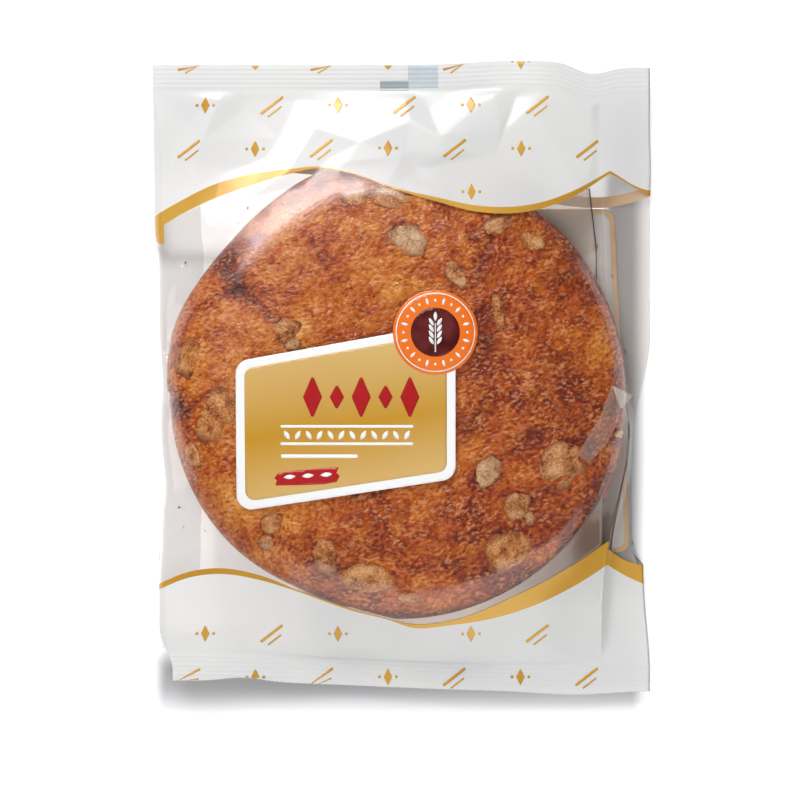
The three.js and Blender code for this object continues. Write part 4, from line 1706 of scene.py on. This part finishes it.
@dataclass
class Printer:
    """Lays flat shapes on a sheet of film as thin closed patches."""

    surface: Callable[[Array, Array], Array]  # height of the sheet that the patches lie on
    spacing: float = 1.2  # between the points inside a patch
    thickness: float = 0.012  # of a patch
    rim_gap: float = 0.3  # least distance of those points from its edge, in spacings

    def _fill(self, outline: Array) -> tuple[Array, list[Sequence[int]]]:
        """Fill an outline with triangles that can follow the film.

        Args:
            outline: The outline's points, anticlockwise.

        Returns:
            The points and the faces between them.
        """
        rim = []
        for a, b in zip(outline, np.roll(outline, -1, axis=0)):
            steps = max(1, math.ceil(np.linalg.norm(b - a) / self.spacing))
            rim += [mix(a, b, k / steps) for k in range(steps)]
        rim = np.array(rim)
        low, high = rim.min(0) + self.spacing / 2, rim.max(0)
        lines = [np.arange(start, end, self.spacing) for start, end in zip(low, high)]
        inner = np.stack(np.meshgrid(*lines), -1).reshape(-1, 2)
        inner = inner[self._inside(inner, rim)]
        points = [Vector(p) for p in (*rim.tolist(), *inner.tolist())]
        points, _, faces, _, _, _ = delaunay_2d_cdt(points, [], [list(range(len(rim)))], 1, 1e-6)
        return np.array([p[:] for p in points]), [tuple(face) for face in faces]

    def _inside(self, points: Array, outline: Array) -> Array:
        """Tell which points lie inside an outline, and not too near its edge.

        Args:
            points: The points.
            outline: The outline.

        Returns:
            True for each point that does.
        """
        inside = np.zeros(len(points), bool)
        near = np.full(len(points), np.inf)
        for a, b in zip(outline, np.roll(outline, -1, axis=0)):
            crosses = (a[1] > points[:, 1]) != (b[1] > points[:, 1])
            rise = b[1] - a[1] if b[1] != a[1] else 1.0
            at = a[0] + (points[:, 1] - a[1]) * (b[0] - a[0]) / rise
            inside ^= crosses & (points[:, 0] < at)
            if not np.allclose(a, b):
                near = np.minimum(near, distance_to(*points.T, tuple(a), tuple(b)))
        return inside & (near > self.spacing * self.rim_gap)

    def build(self, name: str, shapes: Iterable[tuple[Array, float, int]], *inks: Finish) -> Piece:
        """Make a piece of printed patches.

        Args:
            name: The piece's name.
            shapes: Each patch's outline, anticlockwise, the height of its underside over the
                sheet, and the number of its ink.
            *inks: The inks.

        Returns:
            The piece's object.
        """
        mesh = Mesh()
        for outline, lift, slot in shapes:
            points, faces = self._fill(outline)
            x, y = points.T
            low = self.surface(x, y) + lift
            count = len(points)
            edges = dict.fromkeys(pair for face in faces for pair in zip(face, (*face[1:], face[0])))
            walls = [(b, a, a + count, b + count) for a, b in edges if (b, a) not in edges]
            under = [tuple(i + count for i in reversed(face)) for face in faces]
            both = np.concatenate([as_points(x, y, low + self.thickness), as_points(x, y, low)])
            first = mesh.add(both, [*faces, *under], slot)
            mesh.join(walls, slot, first, smooth=False)
        return mesh.build(name, *inks)


@dataclass
class LabelPlate:
    """The gold plate with a white border, its plain ornaments, and the round emblem on it."""

    printer: Printer
    corners: Line = ((-72.2, -58.3), (23.3, -43.8), (23.3, 24.4), (-72.6, 7.3))
    radius: float = 6.4
    inner_radius: float = 4.2
    border: float = 3.8  # width of the white border
    emblem: Point = (14.5, 20.0)  # middle of the round emblem
    rims: Triple = (18.5, 17.3, 16.85)  # radii of its orange, white and orange
    grain_ring: float = 13.9  # radius of the ring of grains
    brown: float = 10.7  # radius
    ear: Point = (-8.6, 4.0)  # low and high end of the ear's stem
    lift: float = 0.04  # of the lowest patch over the film
    layer: float = 0.03  # from one layer of print to the next
    stroke: Line = (  # outline of a short broad brush stroke with ragged ends
        (-55.2, -46.8), (-44, -46.6), (-34, -46.2), (-28.4, -45.2), (-27.2, -42.6), (-28.6, -41.2),
        (-27.6, -38.8), (-35, -39.2), (-46, -40.2), (-54.2, -41.4), (-55.6, -43.6), (-54.6, -44.6),
    )
    gold: Finish = FilmInk(
        "gold_plate_ink", "#c99426", "#ddb874", roughness=0.3, drift=70, fade=(-16.8, 0.15, 34.0)
    )
    red: Finish = FilmInk("red_ink_on_film", "#b01e22", "#b82428")
    orange: Finish = FilmInk("orange_ink_on_film", "#f1731f", "#f68031")
    dark: Finish = FilmInk("dark_brown_ink_on_film", "#4a0e10", "#6b2a2a", drift=9)

    def build_plate(self) -> Piece:
        """Make the white border and the gold field.

        Returns:
            The plate's object.
        """
        field_corners = moved_in(self.corners, self.border)
        shapes = (
            (rounded(self.corners, self.radius), self.lift, 0),
            (rounded(field_corners, self.inner_radius), self.lift + self.layer, 1),
        )
        return self.printer.build("label_plate", shapes, BRIGHT_WHITE, self.gold)

    def build_ornaments(self) -> Piece:
        """Make red lozenges and a brush stroke, and white bars and grains, on the gold field.

        Returns:
            The shapes' object.
        """
        lift = self.lift + 2 * self.layer
        shapes = []
        for k in range(5):
            size = (6.4, 11.5) if k % 2 else (8.4, 19.5)
            shapes.append((lozenge((-39.0 + 10.6 * k, -8.2), *size, 0.7, 4), lift, 0))
        shapes += [(bar((-24.0, y), 58.0, 1.2), lift, 1) for y in (-21.0, -28.6)]
        for k in range(12):
            shapes.append((lens((-50.2 + 4.76 * k, -24.8), 4.6, 2.0, 60 if k % 2 else 120), lift, 1))
        shapes.append((bar((-36.0, -34.0), 33.5, 1.6), lift, 1))
        shapes.append((np.array(self.stroke), lift, 0))
        for k in range(3):
            shapes.append((lens((-49.0 + 8.0 * k, -43.0 + 0.5 * k), 5.2, 1.9, 6), lift + self.layer, 1))
        return self.printer.build("label_ornaments", shapes, self.red, BRIGHT_WHITE)

    def build_emblem(self) -> Piece:
        """Make the round emblem: an orange ring of grains round a plain wheat ear on brown.

        Returns:
            The emblem's object.
        """
        lifts = [self.lift + k * self.layer for k in range(2, 7)]
        cx, cy = self.emblem
        rings = zip(self.rims, lifts, (0, 2, 0))
        shapes = [(disc(self.emblem, radius), lift, slot) for radius, lift, slot in rings]
        for k in range(24):
            angle = 2 * math.pi * k / 24
            at = (cx + self.grain_ring * math.cos(angle), cy + self.grain_ring * math.sin(angle))
            shape = lens(at, 3.2, 1.2, math.degrees(angle)) if k % 2 else disc(at, 0.55, 16)
            shapes.append((shape, lifts[3], 2))
        shapes.append((disc(self.emblem, self.brown), lifts[3], 1))
        low, high = (cy + end for end in self.ear)
        stem = [(cx - 0.28, low), (cx + 0.28, low), (cx + 0.2, high), (cx - 0.2, high)]
        shapes.append((np.array(stem), lifts[4], 2))
        for k in range(4):
            for side in (-1, 1):
                grain = lens((cx + side * 1.75, cy - 3.6 + 2.7 * k), 4.0, 1.5, 90 - side * 32)
                shapes.append((grain, lifts[4], 2))
        shapes.append((lens((cx, cy + 7.0), 4.2, 1.6, 90), lifts[4], 2))
        return self.printer.build("round_emblem", shapes, self.orange, self.dark, BRIGHT_WHITE)


@dataclass
class ScatteredPrint:
    """The small gold motifs scattered over the white ends, and the grey marks on the top seal."""

    printer: Printer
    form: BagForm
    pitch: Point = (29.25, 19.4)  # between motifs, across and up the bag
    starts: Line = ((-64.7, 101.0), (-86.7, 101.0))  # in even rows and in odd ones
    half: float = 5.2  # half a motif's width
    marks: tuple[Line, ...] = (((-9.7, 126.9), (3.1, 131.3)), ((2.7, 127.8), (15.8, 137.9)))  # corners
    lift: float = 0.05  # of the patches over the film
    cut_edge: float = 0.3  # from a cut motif to the bag's edge
    least: float = 0.5  # height of a cut motif

    def _on_white(self, x: float, y: float) -> bool:
        """Tell whether a motif lies on the white print, clear of the marks.

        Args:
            x: The x of its middle.
            y: The y of its middle.

        Returns:
            True where it does. It may run over the bag's top or bottom edge.
        """
        form, half = self.form, self.half
        spots = np.array([x - half, x, x + half])
        on_top = (y - half * 0.8 > TOP_WAVE.edge(spots, True)) & (y - half * 0.5 < form.top(spots))
        on_bottom = y + half * 0.8 < BOTTOM_WAVE.edge(spots, False)
        on_bottom &= y + half * 0.5 > form.bottom(spots)
        inside = form.left(y) + half + 1 < x < form.right(y) - half
        in_crease = abs(x - form.crease(y)) < half * 0.5
        marks = ((*low, *high) for low, high in self.marks)
        on_mark = any(x0 - half < x < x1 + half and y0 - half < y < y1 + half for x0, y0, x1, y1 in marks)
        return bool(on_top.all() or on_bottom.all()) and inside and not in_crease and not on_mark

    def build_motifs(self) -> Piece:
        """Make the motifs: a lozenge with two dots, and a slanting bar, in turn.

        Returns:
            The motifs' object.
        """
        shapes = []
        for row in range(-12, 3):
            x0, y0 = self.starts[row % 2]
            for column in range(-2, 8):
                x, y = x0 + column * self.pitch[0], y0 + row * self.pitch[1]
                if not self._on_white(x, y):
                    continue
                if column % 2:
                    shapes += [bar((x, y), 12.5, 1.3, 38), bar((x + 1.3, y - 2.8), 7.5, 0.8, 38)]
                else:
                    dots = [disc((x + side * 3.7, y), 0.7, 12) for side in (-1, 1)]
                    shapes += [lozenge((x, y), 3.8, 7.8, 0.25, 2), *dots]
        cut = []
        for x, y in (shape.T for shape in shapes):
            y = np.clip(y, self.form.bottom(x) + self.cut_edge, self.form.top(x) - self.cut_edge)
            if np.ptp(y) > self.least:
                cut.append((np.stack([x, y], axis=1), self.lift, 0))
        return self.printer.build("gold_motifs", cut, GOLD)

    def build_marks(self) -> Piece:
        """Make the two grey marks that steer the seal jaws.

        Returns:
            The marks' object.
        """
        shapes = []
        for slot, ((x0, y0), (x1, y1)) in enumerate(self.marks):
            shapes.append((np.array([(x0, y0), (x1, y0), (x1, y1), (x0, y1)]), self.lift, slot))
        pale = FilmInk("pale_grey_ink_on_film", "#c3ccd4", "#cdd5dc")
        return self.printer.build("seal_marks", shapes, GREY, pale)


@dataclass
class BackPanel:
    """The printed box on the back sheet, which shows through the clear right side."""

    printer: Printer
    low: Point = (12.0, -76.8)
    high: Point = (93.9, 75.0)
    lean: float = 0.045  # how much it widens for each mm down
    radii: Point = (5.0, 3.6)  # of its corners, outside and inside its outline
    outline: float = 2.1  # width of its tan outline
    rules: int = 9
    rule_pitch: float = 14.0
    rule_lengths: Point = (70.0, 62.0)  # of each third rule, and of the others
    lifts: Triple = (0.08, 0.14, 0.2)  # of its three layers over the sheet
    white: Finish = FilmInk("thin_white_ink", "#eeeff0", "#f4f4f4", thin=0.4, milky=0.3)

    def build(self) -> Piece:
        """Make the box: a tan outline, a white field and plain grey rules.

        Returns:
            The box's object.
        """
        (x0, y0), (x1, y1) = self.low, self.high
        low_x1, r = x1 + self.lean * (y1 - y0), self.outline
        outer = [(x0, y0), (low_x1, y0), (x1, y1), (x0, y1)]
        inner = [(x0 + r, y0 + r), (low_x1 - r, y0 + r), (x1 - r, y1 - r), (x0 + r, y1 - r)]
        shapes = [
            (rounded(corners, radius), lift, slot)
            for slot, (corners, radius, lift) in enumerate(zip((outer, inner), self.radii, self.lifts))
        ]
        for k in range(self.rules):
            length = self.rule_lengths[1 if k % 3 else 0]
            at = (x1 - 7.0 - length / 2, y1 - 16.0 - self.rule_pitch * k)
            shapes.append((bar(at, length, 0.7), self.lifts[2], 2))
        return self.printer.build("back_panel", shapes, GOLD_FROM_BEHIND, self.white, GREY)


# The folded film


@dataclass
class BackSeam:
    """The lengthwise seam up the back, folded flat, and the film tucked in down the left side."""

    drape: FilmDrape
    fin: Line = ((-5.0, 7.0), (-120.0, 124.0))  # its reach across and up the bag
    fin_thickness: float = 0.12
    fin_depth: float = 0.24  # of its underside below the back sheet
    tuck: float = 18.0  # how far in the tucked film reaches
    tuck_ends: Point = (-119.0, 104.0)
    tuck_gap: float = 0.4  # between the tucked film and the back sheet at most
    tuck_thickness: float = 0.06
    tucked: Finish = ClearFilm("tucked_film", haze=0.08)

    def build_fin(self) -> Piece:
        """Make the fin, which lies flat under the back sheet.

        Returns:
            The fin's object.
        """
        x, y = np.meshgrid(np.linspace(*self.fin[0], 7), np.linspace(*self.fin[1], 90))
        mesh = Mesh()
        mesh.add_sheet(x, y, self.drape.back(x, y) - self.fin_depth, self.fin_thickness)
        return mesh.build("back_fin_seam", CLEAR)

    def build_tuck(self) -> Piece:
        """Make the layer of film that is folded in along the left side.

        Returns:
            The layer's object.
        """
        share, up = np.meshgrid(np.linspace(0, 1, 16), np.linspace(*self.tuck_ends, 120))
        x = self.drape.form.left(up) + 0.9 + share * (self.tuck + 1.4 * np.sin(up / 37))
        back, mesh = self.drape.back(x, up), Mesh()
        low = back + np.minimum(self.tuck_gap, (self.drape.front(x, up) - back) * 0.4)
        mesh.add_sheet(x, up, low, self.tuck_thickness)
        return mesh.build("side_tuck", self.tucked)


@dataclass
class GussetFold:
    """The film tucked into the right gusset, and the pleats that it pulls over the loaf."""

    drape: FilmDrape
    edge: Line = (  # the y and x of the tucked film's free edge
        (-79, 92.2), (-71.1, 92.8), (-52, 96.2), (-33.7, 99.4), (-20, 100), (2, 96),
        (28, 89), (41.1, 86.2), (56.5, 85.8), (73.2, 84), (85, 82.7),
    )
    ends: Point = (-77.0, 84.0)
    depth: float = 46.0  # how far in from that edge it reaches
    under: float = 93.0  # radius round the loaf's middle where it ends under the loaf
    rise: float = 1.8  # how far it stands over the back sheet at its free edge
    gaps: Point = (0.5, 0.6)  # least gap of the film, and of the painted shadow line at its edge, over the back sheet
    line: float = 0.5  # width of the painted shadow line along its edge
    thickness: float = 0.06
    slack_ends: Point = (-24.0, 88.0)
    slack_thickness: float = 0.05
    pleat: Line = (
        (80.9, -36.8), (84.9, -33.7), (90.2, -27.1), (93.7, -20.5), (95.9, -13), (94.2, -8),
        (91.9, -2.9), (89.3, -9.5), (85.8, -18.3), (80.9, -25.8), (76.8, -33),
    )
    pleat_corner: Line = (
        (95.9, -13.2), (99.4, -10.4), (102.1, -7.3), (96.8, -5.4), (92, -3.2), (94, -9),
    )
    # real folded film, whose haze colours are painted: the brown paints the loaf's reflection and the shade
    # in the gap, darker towards the bottom
    folded: Finish = ClearFilm("folded_gusset_film", "#fcfcfc", 0.066, 0.34, "#f6e4d4", "#987c68")
    # painted shadow: a dark strip along the tucked film's free edge, where the fold shades the back sheet
    dark: Finish = FilmInk("painted_fold_shadow_line", "#4a3c34", "#5c4c42")
    # partly real slack film that scatters light; its pale haze paints the film's reflection, and its brown,
    # darker towards the right end, paints shade
    slack: Finish = ClearFilm("slack_film", "#fcfcfc", 0.066, 0.5, "#ead8ca", "#94796a", ("X", 80, 30))
    # painted reflection: the pleat's pale haze stands in for the lamp light that it mirrors, with the
    # mirror turned down
    doubled: Finish = ClearFilm("pleat_film_painted_sheen", mirror=0.01, haze=0.09, haze_colour="#f6e8dc")
    crumpled: Finish = ClearFilm("pleat_corner_painted_glint", mirror=0.02, haze=0.34, haze_colour="#f6e8dc")

    def build_tuck(self) -> Piece:
        """Make the tucked film and the painted shadow line along its edge.

        Returns:
            Their object.
        """
        loaf, mesh = self.drape.loaf, Mesh()
        share, up = np.meshgrid(np.linspace(0, 1, 14), np.linspace(*self.ends, 110))
        free = smooth_curve(self.edge, up)
        off = np.sqrt(np.clip(self.under**2 - (up - loaf.centre[1]) ** 2, 0, None))
        x = mix(np.maximum(free - self.depth, loaf.centre[0] + off), free, share)
        low = self.drape.back(x, up) + self.gaps[0] + self.rise * share**2
        mesh.add_sheet(x, up, low, self.thickness)
        share, up = np.meshgrid(np.linspace(0, 1, 3), np.linspace(*self.ends, 110))
        x = smooth_curve(self.edge, up) + (share - 0.5) * self.line
        low = self.drape.back(x, up) + self.gaps[1] + self.rise
        mesh.add_sheet(x, up, low, self.thickness, 1)
        return mesh.build("gusset_tuck", self.folded, self.dark)

    def build_veil(self) -> Piece:
        """Make the slack film between the loaf's lower rim and the printed stripe.

        Returns:
            The film's object.
        """
        loaf, mesh = self.drape.loaf, Mesh()
        x = np.linspace(*self.slack_ends, 80)
        reach = np.clip((loaf.radius - 0.5) ** 2 - (x - loaf.centre[0]) ** 2, 0, None)
        low = smooth_curve(BOTTOM_WAVE.upper, x) + 0.2
        share, across = np.meshgrid(np.linspace(0, 1, 12), x, indexing="ij")
        up = mix(low, np.maximum(loaf.centre[1] - np.sqrt(reach), low + 0.5), share)
        mesh.add_sheet(across, up, self.drape.front(across, up) + 0.05, self.slack_thickness)
        return mesh.build("slack_film", self.slack)

    def build_pleats(self) -> Piece:
        """Make the doubled film of the pleat over the loaf's right shoulder, whose haze paints the light
        that it reflects.
        """
        shapes = ((np.array(self.pleat), 0.08, 0), (np.array(self.pleat_corner), 0.14, 1))
        return Printer(self.drape.front, 1.0).build("shoulder_pleat", shapes, self.doubled, self.crumpled)


# The studio


@dataclass(frozen=True)
class SoftBox:
    """A flat lamp that faces the pack."""

    name: str
    bearing: float  # where it stands, in degrees from +X towards +Y
    slant: float  # how far down from straight above it is, in degrees
    reach: float  # from the pack, in metres
    size: Point  # in metres
    glow: float  # brightness of its face, where white paper in full light is 1
    crossed: bool = False  # filters keep it out of all reflections

    def build(self) -> None:
        """Make the lamp. Its power is what gives its face the wanted brightness."""
        data = bpy.data.lights.new(self.name, "AREA")
        data.shape = "RECTANGLE"
        data.size, data.size_y = self.size
        data.energy = self.glow * math.pi * self.size[0] * self.size[1]
        lamp = bpy.data.objects.new(self.name, data)
        lamp.visible_glossy = not self.crossed
        bearing, slant = math.radians(self.bearing), math.radians(self.slant)
        at = Vector((math.cos(bearing), math.sin(bearing), 0)) * math.sin(slant)
        at.z = math.cos(slant)
        lamp.location = at * self.reach
        lamp.rotation_euler = (-at).to_track_quat("-Z", "Y").to_euler()
        bpy.context.scene.collection.objects.link(lamp)


@dataclass
class Studio:
    """The table, the soft lamps and the camera, which looks straight down on the pack."""

    lens: float = 200.0
    sensor: float = 36.0
    field: float = 352.0  # width of the table that the picture shows
    aim: Point = (-0.9, -9.5)  # that the camera looks down on
    level: float = 12.0  # height at which the picture shows that width
    sky: float = 0.11  # brightness of the room
    table: float = 1500.0  # reach of the table on each side
    lamps: tuple[SoftBox, ...] = (
        SoftBox("key_edge", 111.5, 57, 1.27, (1.12, 0.95), 1.2),
        SoftBox("key_body", 111.5, 57, 1.26, (0.95, 0.6), 2.7),
        SoftBox("key_core", 111.5, 57, 1.25, (0.85, 0.28), 5.5),
        SoftBox("fill_softbox", -70, 25, 1.30, (1.1, 0.8), 2.75, True),
        SoftBox("south_softbox", -80, 66, 1.30, (2.5, 0.76), 1.3),
        SoftBox("high_softbox", 135, 24, 1.35, (1.1, 0.62), 0.3),
    )

    def build(self) -> None:
        """Make the table, the lamps, the room's light and the camera."""
        mesh, line = Mesh(), np.linspace(-self.table, self.table, 31)
        mesh.add(as_points(*np.meshgrid(line, line), 0.0), grid_faces(31, 31))
        table = mesh.build("table", LightTable())
        for lamp in self.lamps:
            lamp.build()
        world = bpy.data.worlds.new("white_room")
        world.use_nodes = True
        light = world.node_tree.nodes["Background"].inputs
        light["Color"].default_value = (1, 1, 1, 1)
        light["Strength"].default_value = self.sky
        scene = bpy.context.scene
        scene.world = world
        scene.view_settings.view_transform = "Standard"
        data = bpy.data.cameras.new("camera")
        data.lens = self.lens
        data.sensor_width = self.sensor
        camera = bpy.data.objects.new("camera", data)
        height = self.level + self.field * self.lens / self.sensor
        camera.location = (self.aim[0] * MM, self.aim[1] * MM, height * MM)
        scene.collection.objects.link(camera)
        scene.camera = camera


def place_piece(piece: Piece, slot: Slot, stands_for_bag: bool = False) -> None:
    """Let a piece ride on the pack and report it.

    Args:
        piece: The piece.
        slot: The record's slot for the piece. It is not used.
        stands_for_bag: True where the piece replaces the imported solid.
    """
    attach(piece, "root")
    if stands_for_bag:
        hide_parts("sealed_bag")
    LOG.info("%s: %d faces", piece.name, len(piece.data.polygons))


def main() -> None:
    """Build the whole pack and the studio round it."""
    logging.basicConfig(level=logging.INFO, format="%(message)s")
    form, loaf_form = BagForm(), LoafForm()
    drape = FilmDrape(form, loaf_form)
    place_piece(FilmBag(drape).build(), Slot.CLEAR_FILM, True)
    place_piece(Loaf(loaf_form).build(), Slot.CRUST, True)
    topping = CrumbTopping(loaf_form, drape)
    place_piece(topping.build(), Slot.CRUMB, True)
    place_piece(topping.build_specks(), Slot.CRUMB)

    label = LabelPlate(Printer(drape.front))
    place_piece(label.build_plate(), Slot.GOLD_PRINT)
    place_piece(label.build_ornaments(), Slot.WARM_PRINT)
    place_piece(label.build_emblem(), Slot.WARM_PRINT)
    scattered = ScatteredPrint(Printer(drape.front, 0.45), form)
    place_piece(scattered.build_motifs(), Slot.GOLD_PRINT)
    place_piece(scattered.build_marks(), Slot.WHITE_PRINT)
    place_piece(BackPanel(Printer(drape.back)).build(), Slot.WHITE_PRINT)

    seam, gusset = BackSeam(drape), GussetFold(drape)
    folds = (seam.build_fin, seam.build_tuck, gusset.build_tuck, gusset.build_veil, gusset.build_pleats)
    for build in folds:
        place_piece(build(), Slot.CLEAR_FILM)

    Studio().build()
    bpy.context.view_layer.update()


if __name__ == "__main__":
    main()
